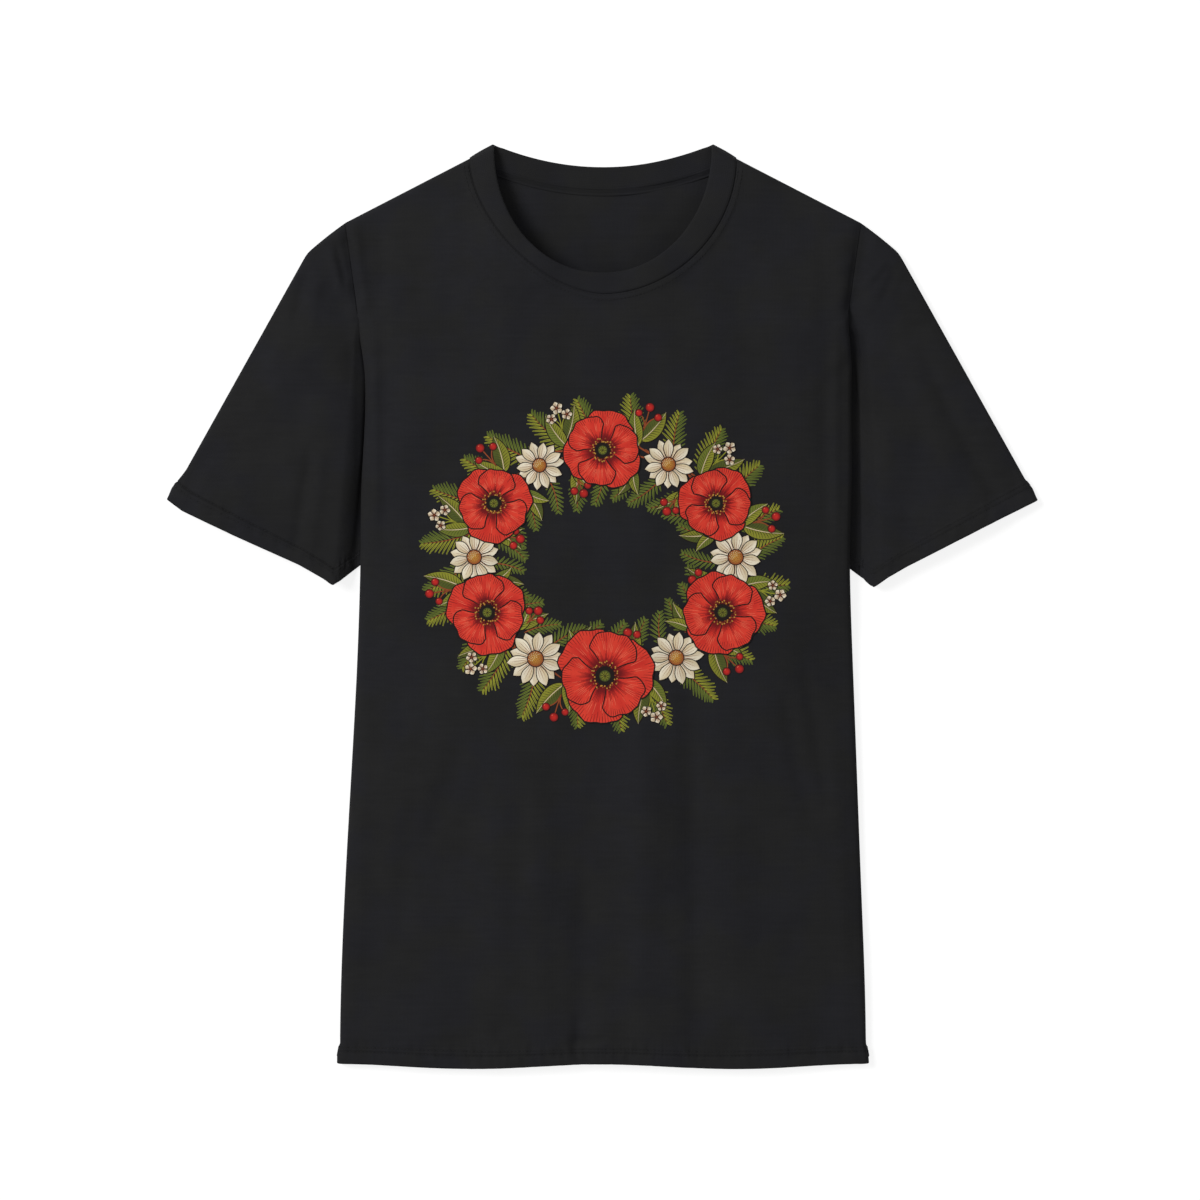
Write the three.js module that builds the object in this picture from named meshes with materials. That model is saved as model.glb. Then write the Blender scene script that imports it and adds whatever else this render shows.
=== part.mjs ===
// A crew-neck T-shirt laid on its back, front up, with its sleeves drawn in beside the body.
// Millimetres. +X is the wearer's left, +Y runs from the hem to the neck, +Z is up.
// Every piece of cloth is a closed sheet: an outer surface, an inner surface and the rims that join them.
// While it is drawn, y counts up from the hem and z from the table; the last lines centre the group.

import * as THREE from "three";

// ---- Driving dimensions -------------------------------------------------------------------------------

const HEM_HALF_WIDTH = 204;
const CHEST_HALF_WIDTH = 187.5;
const CHEST_Y = 430; // the side seams run straight above this
const HEM_WAVE = 1.8; // the hem's edge rises and falls by this
const HEM_WAVE_LENGTH = 206;
const HEM_ALLOWANCE = 12.5; // the turned-up hem, to its stitching

const NECK_SEAM = { halfWidth: 103, y: 703, frontDrop: 106, backDrop: 24 };
const RIB_EDGE = { halfWidth: 86.6, y: 711.5, frontDrop: 98.5, backDrop: 16.2 };
const NECK_ROUNDNESS = 1.75; // the exponent of the front neckline, 2 being an ellipse
const SHOULDER_TIP = { x: 199.8, y: 653 };

const ARMPIT = { x: 190, y: 583 }; // the armhole seam runs straight from here to the shoulder tip
const SLEEVE_KNEE_SLOPE = 0.84; // the fall of the sleeve's top fold from the shoulder tip
const SLEEVE_FOLD_SLOPE = 1.767; // and past the knee, down to the hem
const KNEE_RADIUS = 3;
const SLEEVE_TIP = { x: 336.5, y: 438 };
const SLEEVE_CORNER = { x: 209, y: 372 }; // the hem's inner corner
const SLEEVE_CREASE_X = 196.5; // where the sleeve turns down beside the body
const CREASE_RADIUS = 8;
const SLEEVE_TUCK = { x: 165, y: 406 }; // the underarm, drawn in beneath the body

const JERSEY = 1; // the thickness of the cloth
const HEM_THICKNESS = 1.8; // the turned-up hem is double
const RIB_THICKNESS = 1.6;
const RIB_PROUD = 0.5; // the rib stands this far above the front
const SEAM_GAP = 0.3; // between one piece and the next

const FOLD_RADIUS = 4.5; // where front and back meet, at the sides and the shoulders
const EDGE_DEPTH = 2 * FOLD_RADIUS;
const HEM_CROWN = 6; // how much deeper the middle of the shirt is than its sides
const CHEST_CROWN = 15;
const SLEEVE_CROWN = 5;
const TUCK_HEIGHT = 4; // the underarm, folded flat
const TUCK_LIFT = 5; // the body is lifted by this where it lies on the underarm
const SEAM_OPENS = [576, 596]; // over this the side's fold opens into the flat armhole seam

const TAPE = { width: 8, thickness: 0.8, overlap: 1.5, share: 0.84 }; // on the seam of the back neck
const THREAD = 0.6;
const THREAD_RISE = SEAM_GAP + THREAD / 2 + 0.1; // from the cloth to the thread's middle
const NEEDLE_SPACING = 3.2;

// ---- Small helpers ------------------------------------------------------------------------------------

const { lerp, clamp, smoothstep } = THREE.MathUtils;
const radians = THREE.MathUtils.degToRad;
const steps = (count) => Array.from({ length: count + 1 }, (_, i) => i / count);
const point = (x, y, z) => new THREE.Vector3(x, y, z);

// ---- The outline, seen from above ---------------------------------------------------------------------

function bodyHalfWidth(y) {
  if (y > ARMPIT.y) {
    return lerp(ARMPIT.x, SHOULDER_TIP.x, (y - ARMPIT.y) / (SHOULDER_TIP.y - ARMPIT.y));
  }
  const waist = lerp(HEM_HALF_WIDTH, CHEST_HALF_WIDTH, smoothstep(y, 0, CHEST_Y));
  return waist + (ARMPIT.x - CHEST_HALF_WIDTH) * smoothstep(y, CHEST_Y, ARMPIT.y);
}

const hemEdge = (x) => HEM_WAVE * Math.cos((2 * Math.PI * x) / HEM_WAVE_LENGTH);

// The shoulder is one straight fold from the tip, past the neck seam, to the rib's edge.
const shoulderSlope = (NECK_SEAM.y - SHOULDER_TIP.y) / (SHOULDER_TIP.x - NECK_SEAM.halfWidth);
const shoulderAngle = Math.atan(shoulderSlope);
const belowShoulder = (x, y) =>
  (NECK_SEAM.y - y - shoulderSlope * (Math.abs(x) - NECK_SEAM.halfWidth)) * Math.cos(shoulderAngle);

// The front neckline is a superellipse, at angle 0 in the middle and 90 degrees at the shoulder.
function frontNeck(line, angle) {
  const power = 2 / NECK_ROUNDNESS;
  const across = Math.sign(angle) * Math.abs(Math.sin(radians(angle))) ** power;
  const down = Math.abs(Math.cos(radians(angle))) ** power;
  return { x: line.halfWidth * across, y: line.y - line.frontDrop * down };
}

// The stations of half a neckline, which crowd together where it turns over the shoulder's fold.
const FRONT_ANGLES = [0, 14, 28, 41, 53, 64, 74, 81, 86, 88, 89.2, 90];
const BACK_ACROSS = [0, 0.24, 0.47, 0.68, 0.84, 0.95, 0.975, 0.992, 1];

// The back neckline is a shallow parabola, with across running from -1 to 1.
const backNeck = (line, across) => ({
  x: line.halfWidth * across,
  y: line.y - line.backDrop * (1 - across ** 2),
});

// ---- Heights of the body above the table --------------------------------------------------------------

const bodyLift = (x, y) =>
  TUCK_LIFT *
  smoothstep(Math.abs(x), 130, 158) *
  smoothstep(y, 335, 368) *
  (1 - smoothstep(y, 566, ARMPIT.y));

function bodyDepth(x, y) {
  const across = clamp(1 - (x / bodyHalfWidth(y)) ** 2, 0, 1);
  const crown = lerp(HEM_CROWN, CHEST_CROWN, smoothstep(y, 0, 260));
  return EDGE_DEPTH + crown * across ** 0.8 * smoothstep(belowShoulder(x, y), 0, 110);
}

// How far the point has turned round a fold, as the cosine and sine of the cloth's slope there, and which
// way is out. Cloth far from a fold has fold 0 and flat 1. Above the armpit the side is a seam, not a fold.
function turnAt(x, y) {
  const side = bodyHalfWidth(y) - Math.abs(x) + 4 * FOLD_RADIUS * smoothstep(y, ...SEAM_OPENS);
  const shoulder = belowShoulder(x, y);
  const fold = clamp(1 - Math.min(side, shoulder) / FOLD_RADIUS, 0, 1);
  const out =
    shoulder < side
      ? [Math.sign(x) * Math.sin(shoulderAngle), Math.cos(shoulderAngle)]
      : [Math.sign(x), 0];
  return { fold, flat: Math.sqrt(1 - fold ** 2), out };
}

// A point of the body's cloth: face is 1 on the front and -1 on the back, and inset is the distance
// inward from the outer surface. apart keeps the front and back off each other where they meet.
function bodyPoint({ x, y }, face, inset, apart = SEAM_GAP / 2) {
  const { fold, flat, out } = turnAt(x, y);
  const middle = bodyLift(x, y) + FOLD_RADIUS;
  const reach = face > 0 ? bodyDepth(x, y) - FOLD_RADIUS : FOLD_RADIUS;
  return point(
    x - inset * fold * out[0],
    y - inset * fold * out[1],
    middle + face * (apart + (reach - apart - inset) * flat),
  );
}

// ---- Solids -------------------------------------------------------------------------------------------

// A closed sheet from two grids of points, [i][j]. A wrapped sheet closes on itself along i.
function sheet(outer, inner, wrapped = false) {
  const count = outer.length;
  const width = outer[0].length;
  const edge = width - 1;
  const index = (layer, i, j) => (layer * count + (i % count)) * width + j;
  const faces = [];
  const quad = (a, b, c, d) => faces.push(a, b, c, a, c, d);
  for (let i = 0; i < (wrapped ? count : count - 1); i++) {
    for (let j = 0; j < edge; j++) {
      quad(index(0, i, j), index(0, i + 1, j), index(0, i + 1, j + 1), index(0, i, j + 1));
      quad(index(1, i, j), index(1, i, j + 1), index(1, i + 1, j + 1), index(1, i + 1, j));
    }
    quad(index(0, i, 0), index(1, i, 0), index(1, i + 1, 0), index(0, i + 1, 0));
    quad(index(0, i, edge), index(0, i + 1, edge), index(1, i + 1, edge), index(1, i, edge));
  }
  if (!wrapped) {
    const last = count - 1;
    for (let j = 0; j < edge; j++) {
      quad(index(0, 0, j), index(0, 0, j + 1), index(1, 0, j + 1), index(1, 0, j));
      quad(index(0, last, j), index(1, last, j), index(1, last, j + 1), index(0, last, j + 1));
    }
  }
  return facingOut([...outer.flat(), ...inner.flat()], faces);
}

function facingOut(points, faces) {
  let volume = 0;
  for (let i = 0; i < faces.length; i += 3) {
    const [a, b, c] = [points[faces[i]], points[faces[i + 1]], points[faces[i + 2]]];
    volume += a.dot(b.clone().cross(c));
  }
  if (volume < 0) faces.reverse();
  const geometry = new THREE.BufferGeometry().setFromPoints(points);
  geometry.setIndex(faces);
  geometry.computeVertexNormals();
  return geometry;
}

// A sewing thread along a line of points, square in section.
function threadAlong(points, count) {
  const half = THREAD / 2;
  const section = new THREE.Shape([
    new THREE.Vector2(-half, -half),
    new THREE.Vector2(half, -half),
    new THREE.Vector2(half, half),
    new THREE.Vector2(-half, half),
  ]);
  const path = new THREE.CatmullRomCurve3(points);
  return new THREE.ExtrudeGeometry(section, { steps: count, extrudePath: path, bevelEnabled: false });
}

// ---- The body -----------------------------------------------------------------------------------------

// Stations that turn round a fold of the given radius, then run on evenly to the far end, from 0 to 1.
function foldThenEven(length, count) {
  const turn = [0, 35, 65, 90].map((angle) => (FOLD_RADIUS * (1 - Math.cos(radians(angle)))) / length);
  return [...turn, ...steps(count).slice(1).map((t) => lerp(turn.at(-1), 1, t))];
}

// Half of a panel's top edge, from the middle of the neck out to the shoulder tip, beside the point of
// the hem that each column starts from.
function panelColumns(neckPoints, shoulderCount) {
  const shoulderLength = Math.hypot(SHOULDER_TIP.x - NECK_SEAM.halfWidth, NECK_SEAM.y - SHOULDER_TIP.y);
  const neckHem = HEM_HALF_WIDTH - shoulderLength;
  const neckColumns = neckPoints.map((top, i) => ({ top, hem: (neckHem * i) / (neckPoints.length - 1) }));
  const shoulderColumns = foldThenEven(shoulderLength, shoulderCount)
    .reverse()
    .slice(1)
    .map((t) => ({
      top: {
        x: lerp(SHOULDER_TIP.x, NECK_SEAM.halfWidth, t),
        y: lerp(SHOULDER_TIP.y, NECK_SEAM.y, t),
      },
      hem: HEM_HALF_WIDTH - t * shoulderLength,
    }));
  const half = [...neckColumns, ...shoulderColumns];
  const mirrored = half
    .slice(1)
    .reverse()
    .map(({ top, hem }) => ({ top: { x: -top.x, y: top.y }, hem: -hem }));
  return [...mirrored, ...half];
}

// The heights of a panel's rows up its side, the same on both panels, which meet there.
const PANEL_ROWS = [
  ...[0, HEM_ALLOWANCE, HEM_ALLOWANCE + 1.5],
  ...steps(10).slice(1).map((t) => lerp(HEM_ALLOWANCE + 1.5, 546, t)),
  ...[560, 570, ARMPIT.y, 606, 628],
  ...[90, 60, 30, 0].map((angle) => SHOULDER_TIP.y - FOLD_RADIUS * (1 - Math.cos(radians(angle)))),
];

// A front or back panel, laid out between its four edges: hem, two sides with their armholes, and top.
function panel(face, columns) {
  const place = ({ top, hem }, height) => {
    const v = height / SHOULDER_TIP.y;
    const drift = bodyHalfWidth(height) - lerp(HEM_HALF_WIDTH, SHOULDER_TIP.x, v);
    return {
      x: lerp(hem, top.x, v) + (drift * hem) / HEM_HALF_WIDTH,
      y: lerp(hemEdge(hem), top.y, v),
    };
  };
  const thickness = (height) => (height <= HEM_ALLOWANCE ? HEM_THICKNESS : JERSEY);
  const grid = (inset) =>
    columns.map((column) => PANEL_ROWS.map((row) => bodyPoint(place(column, row), face, inset(row))));
  return sheet(
    grid(() => 0),
    grid(thickness),
  );
}

const frontColumns = panelColumns(FRONT_ANGLES.map((angle) => frontNeck(NECK_SEAM, angle)), 5);
const backColumns = panelColumns(BACK_ACROSS.map((across) => backNeck(NECK_SEAM, across)), 5);

// ---- The sleeves --------------------------------------------------------------------------------------

// The top fold of a sleeve, rounded at the knee where it leaves the shoulder.
function sleeveFold(s) {
  const x = lerp(SHOULDER_TIP.x + SEAM_GAP, SLEEVE_TIP.x, s);
  const nearShoulder = SHOULDER_TIP.y - SLEEVE_KNEE_SLOPE * (x - SHOULDER_TIP.x);
  const nearHem = SLEEVE_TIP.y + SLEEVE_FOLD_SLOPE * (SLEEVE_TIP.x - x);
  const lower = Math.min(nearShoulder, nearHem);
  const apart = Math.abs(nearShoulder - nearHem) / KNEE_RADIUS;
  return { x, y: lower - KNEE_RADIUS * Math.log(1 + Math.exp(-apart)) };
}

// The crease beside the body, which leaves it at the armpit and swings out to the hem's corner.
function sleeveCrease(s) {
  const y = lerp(ARMPIT.y, SLEEVE_CORNER.y, s);
  const start = lerp(ARMPIT.x + SEAM_GAP, SLEEVE_CREASE_X, smoothstep(s, 0, 0.06));
  const swing = clamp((450 - y) / (450 - SLEEVE_CORNER.y), 0, 1) ** 2;
  return { x: lerp(start, SLEEVE_CORNER.x, swing), y };
}

// The underarm's fold. Near the armpit it stays outside the body, and then it runs in beneath it.
function sleeveTuck(s, crease) {
  const beside = crease.x + lerp(1, -1.5, smoothstep(s, 0, 0.06));
  const under = smoothstep(s, 0.07, 0.22);
  return { x: lerp(beside, SLEEVE_TUCK.x, under), y: lerp(ARMPIT.y - 3, SLEEVE_TUCK.y, s) };
}

// One ring of the sleeve's tube, at s from 0 at the armhole to 1 at the hem, as its points from the outer
// fold over the top to the crease, down and in to the underarm's fold, and back along the table.
function sleeveRing(s, inset) {
  const fold = sleeveFold(s);
  const crease = sleeveCrease(s);
  const tuck = sleeveTuck(s, crease);
  const [width, inLength] = [fold, tuck].map((end) => Math.hypot(crease.x - end.x, crease.y - end.y));
  const from = (start, end, distance, length, z) =>
    point(lerp(start.x, end.x, distance / length), lerp(start.y, end.y, distance / length), z);
  const onTop = (distance, z) => from(fold, crease, distance, width, z);
  const onTuck = (distance, z) => from(crease, tuck, distance, inLength, z);

  const turn = Math.min(CREASE_RADIUS, width / 5);
  const flat = (t) => lerp(FOLD_RADIUS, width - turn, t);
  const round = (angle, radius) => [radius * Math.cos(radians(angle)), radius * Math.sin(radians(angle))];
  const outerFold = [-60, -25, 0, 25, 60, 90].map((angle) => {
    const [out, up] = round(angle, FOLD_RADIUS - inset);
    return onTop(FOLD_RADIUS - out, FOLD_RADIUS + up);
  });
  const top = [0.12, 0.3, 0.5, 0.7, 0.88].map((t) => {
    const crown = SLEEVE_CROWN * Math.sin(Math.PI * t) ** 0.7 * smoothstep(s, 0, 0.35);
    return onTop(flat(t), EDGE_DEPTH + crown - inset);
  });
  const rise = EDGE_DEPTH - TUCK_HEIGHT - inset;
  const creaseTurn = [90, 60, 30].map((angle) => {
    const [out, up] = round(angle, 1);
    return onTop(width - turn + (turn - inset) * out, TUCK_HEIGHT + rise * up);
  });
  const creaseFoot = [onTop(width - inset, TUCK_HEIGHT - inset)];
  const tuckFold = [90, 0, -90].map((angle) => {
    const [out, up] = round(angle, TUCK_HEIGHT / 2 - inset);
    return onTuck(inLength + out, TUCK_HEIGHT / 2 + up);
  });
  const bottom = [onTuck(0, inset), ...[0.85, 0.6, 0.35, 0.1].map((t) => onTop(flat(t), inset))];
  return [...outerFold, ...top, ...creaseTurn, ...creaseFoot, ...tuckFold, ...bottom];
}

const SLEEVE_TOP = [5, 11]; // the points of a ring on the flat of its top
const HEM_SHARE = 0.945; // the sleeve's hem is turned up beyond this

function sleeve(mirror) {
  const hem = [HEM_SHARE - 0.006, HEM_SHARE, 1];
  const along = [0, 0.04, 0.09, 0.15, 0.21, 0.27, 0.35, 0.45, 0.56, 0.68, 0.8, 0.9, ...hem];
  const grid = (inset) => {
    const rings = along.map((s) => sleeveRing(s, inset(s)));
    rings.flat().forEach((p) => (p.x *= mirror));
    return rings[0].map((_, i) => rings.map((ring) => ring[i]));
  };
  return sheet(
    grid(() => 0),
    grid((s) => (s < HEM_SHARE ? JERSEY : HEM_THICKNESS)),
    true,
  );
}

// ---- The neck -----------------------------------------------------------------------------------------

// The ribbed band, sewn to the neckline and folded over at the shoulders.
function neckRib() {
  const bothWays = (half) => [...half.slice(1, -1).map((t) => -t).reverse(), ...half];
  const stations = [
    ...bothWays(FRONT_ANGLES).map((angle) => ({ face: 1, neck: (line) => frontNeck(line, angle) })),
    ...bothWays(BACK_ACROSS).map((across) => ({ face: -1, neck: (line) => backNeck(line, -across) })),
  ];
  const seam = { ...NECK_SEAM, halfWidth: NECK_SEAM.halfWidth - SEAM_GAP, y: NECK_SEAM.y + SEAM_GAP };
  const across = ({ face, neck }, inset) => {
    const [outside, edge] = [neck(seam), neck(RIB_EDGE)];
    return [0, 0.3, 0.65, 1].map((w) => {
      const place = { x: lerp(outside.x, edge.x, w), y: lerp(outside.y, edge.y, w) };
      const proud = face > 0 ? RIB_PROUD * turnAt(place.x, place.y).flat : 0;
      return bodyPoint(place, face, inset - proud, 0);
    });
  };
  return sheet(
    stations.map((station) => across(station, 0)),
    stations.map((station) => across(station, RIB_THICKNESS)),
    true,
  );
}

// A tape that covers the seam on the inside of the back neck.
function neckTape() {
  const base = RIB_THICKNESS + SEAM_GAP;
  const place = (t, w, z) => {
    const { x, y } = backNeck(NECK_SEAM, t * TAPE.share);
    return point(x, y + TAPE.overlap - w * TAPE.width, base + z);
  };
  const grid = (z) => steps(20).map((t) => [0, 0.5, 1].map((w) => place(2 * t - 1, w, z)));
  return sheet(grid(TAPE.thickness), grid(0));
}

// ---- The sewing threads that show on the front --------------------------------------------------------

const onFront = (x, y) => bodyPoint({ x, y }, 1, 0).add(point(0, 0, THREAD_RISE));

// It follows the neckline at a distance, and stops short of the shoulders.
function neckThread(distance) {
  const halfWidth = NECK_SEAM.halfWidth + distance;
  const line = { ...NECK_SEAM, halfWidth, frontDrop: NECK_SEAM.frontDrop + distance };
  const points = steps(32).map((t) => frontNeck(line, lerp(-84, 84, t)));
  return threadAlong(points.map(({ x, y }) => onFront(x, y)), 36);
}

function bottomThread(height) {
  const reach = HEM_HALF_WIDTH - 8;
  const points = steps(24).map((t) => {
    const x = lerp(-reach, reach, t);
    return onFront(x, height + hemEdge(x));
  });
  return threadAlong(points, 26);
}

function sleeveThread(mirror, s) {
  const line = sleeveRing(s, -THREAD_RISE).slice(...SLEEVE_TOP);
  return threadAlong(line.map((p) => point(p.x * mirror, p.y, p.z)), 10);
}

// ---- Assembly -----------------------------------------------------------------------------------------

const finish = (color, roughness) => new THREE.MeshStandardMaterial({ color, roughness, metalness: 0 });
const jersey = finish(0x222224, 0.95);
const rib = finish(0x212123, 0.92);
const tape = finish(0x262628, 0.85);
const thread = finish(0x2a2a2c, 0.6);

const shirt = new THREE.Group();
function add(name, geometry, material) {
  const mesh = new THREE.Mesh(geometry, material);
  mesh.name = name;
  shirt.add(mesh);
}

add("front_panel", panel(1, frontColumns), jersey);
add("back_panel", panel(-1, backColumns), jersey);
add("neck_rib", neckRib(), rib);
add("neck_tape", neckTape(), tape);
add("neck_thread_inner", neckThread(2), thread);
add("neck_thread_outer", neckThread(2 + NEEDLE_SPACING), thread);
add("bottom_hem_thread_lower", bottomThread(HEM_ALLOWANCE - NEEDLE_SPACING), thread);
add("bottom_hem_thread_upper", bottomThread(HEM_ALLOWANCE), thread);
for (const [side, mirror] of [["left", 1], ["right", -1]]) {
  add(`${side}_sleeve`, sleeve(mirror), jersey);
  add(`${side}_sleeve_thread_inner`, sleeveThread(mirror, HEM_SHARE), thread);
  add(`${side}_sleeve_thread_outer`, sleeveThread(mirror, HEM_SHARE + 0.013), thread);
}

// The origin is the middle of the shirt's footprint, on the table.
const box = new THREE.Box3().setFromObject(shirt, true);
const middle = box.getCenter(point(0, 0, 0));
shirt.position.set(-middle.x, -middle.y, -box.min.z);

export default shirt;
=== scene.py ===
"""A black crew-neck T-shirt laid on its back with a print on its chest, its sleeves drawn in beside the body.

The shapes are worked out in millimetres, with y counted up from the hem and z from the table, and to_frame
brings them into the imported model's frame in metres. +X is the wearer's left and +Z is up, out of the chest.
"""

import math

import bpy
import numpy as np
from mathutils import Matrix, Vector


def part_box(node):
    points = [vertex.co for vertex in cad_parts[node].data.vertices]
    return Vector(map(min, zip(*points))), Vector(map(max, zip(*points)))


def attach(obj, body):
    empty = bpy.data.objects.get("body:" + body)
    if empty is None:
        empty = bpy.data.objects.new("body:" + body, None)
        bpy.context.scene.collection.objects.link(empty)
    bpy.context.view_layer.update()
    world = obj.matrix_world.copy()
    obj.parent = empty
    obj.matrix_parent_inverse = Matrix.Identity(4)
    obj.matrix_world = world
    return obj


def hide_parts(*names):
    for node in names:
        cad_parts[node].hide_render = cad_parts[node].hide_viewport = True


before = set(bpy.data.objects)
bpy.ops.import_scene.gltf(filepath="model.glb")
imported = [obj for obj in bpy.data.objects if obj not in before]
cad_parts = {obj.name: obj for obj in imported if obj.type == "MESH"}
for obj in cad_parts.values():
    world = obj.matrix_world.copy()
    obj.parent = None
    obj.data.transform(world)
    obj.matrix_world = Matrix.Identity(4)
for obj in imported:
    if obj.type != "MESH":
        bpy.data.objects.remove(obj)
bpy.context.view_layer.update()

# ---- Sizes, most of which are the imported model's -------------------------------------------------------

HEM_HALF_WIDTH = 204
CHEST_HALF_WIDTH = 187.5
CHEST_Y = 430
HEM_WAVE = 1.8
HEM_WAVE_LENGTH = 206
HEM_FLARE = 1.6
HEM_ALLOWANCE = 12.5
NEEDLE_SPACING = 3.2
DRAWN_IN = 5  # how much narrower the right side is below the armpit
FULLER = 3.2  # how much wider the left side is above the waist
FULLEST = (455, 45, 1.8)  # where the left side is fullest, how far that reaches, and by how much more

NECK_SEAM = {"half_width": 103, "y": 703, "front_drop": 106, "back_drop": 24, "roundness": (1.69, 1.94)}
RIB_EDGE = {"half_width": 85, "y": 713.5, "front_drop": 101.2, "back_drop": 17.5, "roundness": (2.1, 2.04)}
SHOULDER_TIP = (199.8, 653)
ARMPIT = (190, 583)

SLEEVE_CAP_SLOPE = (0.70, 0.0062)  # beyond the shoulder's tip, and its growth per millimetre
SLEEVE_CAP_LENGTH = 30
SLEEVE_FOLD_SLOPE = 1.79
SLEEVE_KNEE_RADIUS = 0.9
SLEEVE_TIP = (336.5, 438)
SLEEVE_TUCK = (165, 406)

FOLD_RADIUS = 4.5
EDGE_DEPTH = 2 * FOLD_RADIUS
HEM_CROWN = 6
CHEST_CROWN = 15
SLEEVE_CROWN = 5
TUCK_LIFT = 3.2
TUCK_RADIUS = 1.1

JERSEY = 0.55  # the thickness of the cloth, which the solids double
HEM_THICKNESS = 1.3
STITCH_ROWS = (HEM_ALLOWANCE - NEEDLE_SPACING, HEM_ALLOWANCE)  # the height of each row above the hem
RAW_EDGE = 0.35  # how far a raw edge is rounded out, as a share of the thickness
CELL = 2.95  # the spacing of the cloth's points

HEM_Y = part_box("front_panel")[0][1] + HEM_WAVE / 1000  # the hem's place in the frame


def to_frame(points):
    """Millimetres from the hem and the table, as metres in the frame."""
    return np.asarray(points, float) / 1000 + np.array([0, HEM_Y, 0])


# ---- Small helpers -------------------------------------------------------------------------------------


def smoothstep(x, low, high):
    t = np.clip((np.asarray(x, float) - low) / (high - low), 0, 1)
    return t * t * (3 - 2 * t)


def lerp(a, b, t):
    return a + (b - a) * t


def hump(distance, reach):
    """1 where distance is 0, falling off smoothly to nearly 0 at twice reach."""
    return np.exp(-((distance / reach) ** 2))


def unit(vectors):
    length = np.linalg.norm(vectors, axis=-1, keepdims=True)
    return vectors / np.maximum(length, 1e-9)


def along(points):
    """The distance covered at each point of a line of points."""
    hops = np.linalg.norm(np.diff(points, axis=0), axis=1)
    return np.concatenate([[0], np.cumsum(hops)])


def evenly(points, count):
    """A line of points taken again at count + 1 even distances."""
    distance = along(points)
    wanted = np.linspace(0, distance[-1], count + 1)
    return np.stack([np.interp(wanted, distance, axis) for axis in points.T], axis=1)


def distance_to(x, y, path):
    """The distance of each (x, y) to a line of points, and how far along it the nearest point lies."""
    best = np.full(np.shape(x), np.inf)
    where = np.zeros(np.shape(x))
    covered = along(path)
    for (ax, ay), (bx, by), start, end in zip(path[:-1], path[1:], covered[:-1], covered[1:]):
        t = np.clip(((x - ax) * (bx - ax) + (y - ay) * (by - ay)) / (end - start) ** 2, 0, 1)
        gap = np.hypot(x - lerp(ax, bx, t), y - lerp(ay, by, t))
        where = np.where(gap < best, lerp(start, end, t) / covered[-1], where)
        best = np.minimum(gap, best)
    return best, where


def bend(start, middle, end, count=10):
    """The points of a curve that leaves start for middle and arrives at end."""
    t = np.linspace(0, 1, count + 1)[:, None]
    start, middle, end = (np.array(p, float) for p in (start, middle, end))
    return (1 - t) ** 2 * start + 2 * t * (1 - t) * middle + t**2 * end


def random_waves(seed, wavelengths, stretch=(1, 1), count=26):
    """A smooth random surface of about unit height, longer along x or y by stretch."""
    rng = np.random.default_rng(seed)
    angle, phase = rng.uniform(0, 2 * math.pi, (2, count))
    size = 2 * math.pi / rng.uniform(*wavelengths, count)
    kx, ky = size * np.cos(angle) / stretch[0], size * np.sin(angle) / stretch[1]

    def height(x, y):
        total = sum(np.sin(a * x + b * y + c) for a, b, c in zip(kx, ky, phase))
        return total / math.sqrt(count / 2)

    return height


# ---- The outline, seen from above ----------------------------------------------------------------------

shoulder_slope = (NECK_SEAM["y"] - SHOULDER_TIP[1]) / (SHOULDER_TIP[0] - NECK_SEAM["half_width"])
shoulder_angle = math.atan(shoulder_slope)


def half_width(y, side):
    """The body's half width. The left side is a little fuller, and the right is drawn in below the armpit."""
    waist = lerp(HEM_HALF_WIDTH, CHEST_HALF_WIDTH, smoothstep(y, 0, CHEST_Y))
    low = waist + (ARMPIT[0] - CHEST_HALF_WIDTH) * smoothstep(y, CHEST_Y, ARMPIT[1])
    high = lerp(ARMPIT[0], SHOULDER_TIP[0], (y - ARMPIT[1]) / (SHOULDER_TIP[1] - ARMPIT[1]))
    drawn_in = DRAWN_IN * smoothstep(y, 430, 525) * (1 - smoothstep(y, 530, ARMPIT[1]))
    fuller = FULLER * smoothstep(y, 100, 330) * (1 - smoothstep(y, 535, ARMPIT[1]))
    fullest_y, reach, more = FULLEST
    fuller += more * hump(y - fullest_y, reach)
    flare = HEM_FLARE * (1 - smoothstep(y, 4, 16))
    return np.where(y > ARMPIT[1], high, low) + flare + np.where(side < 0, -drawn_in, fuller)


def hem_edge(x):
    return HEM_WAVE * np.cos(2 * math.pi * x / HEM_WAVE_LENGTH)


def below_shoulder(x, y):
    down = NECK_SEAM["y"] - y - shoulder_slope * (np.abs(x) - NECK_SEAM["half_width"])
    return down * math.cos(shoulder_angle)


def front_neck(line, angle):
    """The front neckline, a superellipse: angle 0 is its middle, and 90 degrees the left shoulder."""
    power = 2 / np.where(angle < 0, *line["roundness"])
    across = np.sign(angle) * np.abs(np.sin(angle)) ** power
    x = line["half_width"] * across
    y = line["y"] - line["front_drop"] * np.abs(np.cos(angle)) ** power
    return np.stack([x, y], axis=-1)


def back_neck(line, across):
    """The back neckline, a parabola: across runs from -1 to 1."""
    return np.stack([line["half_width"] * across, line["y"] - line["back_drop"] * (1 - across**2)], axis=-1)


def neckline(face):
    """The seam of the front or back neckline as a line of points."""
    if face > 0:
        return front_neck(NECK_SEAM, np.linspace(-math.pi / 2, math.pi / 2, 181))
    return back_neck(NECK_SEAM, np.linspace(-1, 1, 91))


# ---- The lie of the cloth ------------------------------------------------------------------------------

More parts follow.
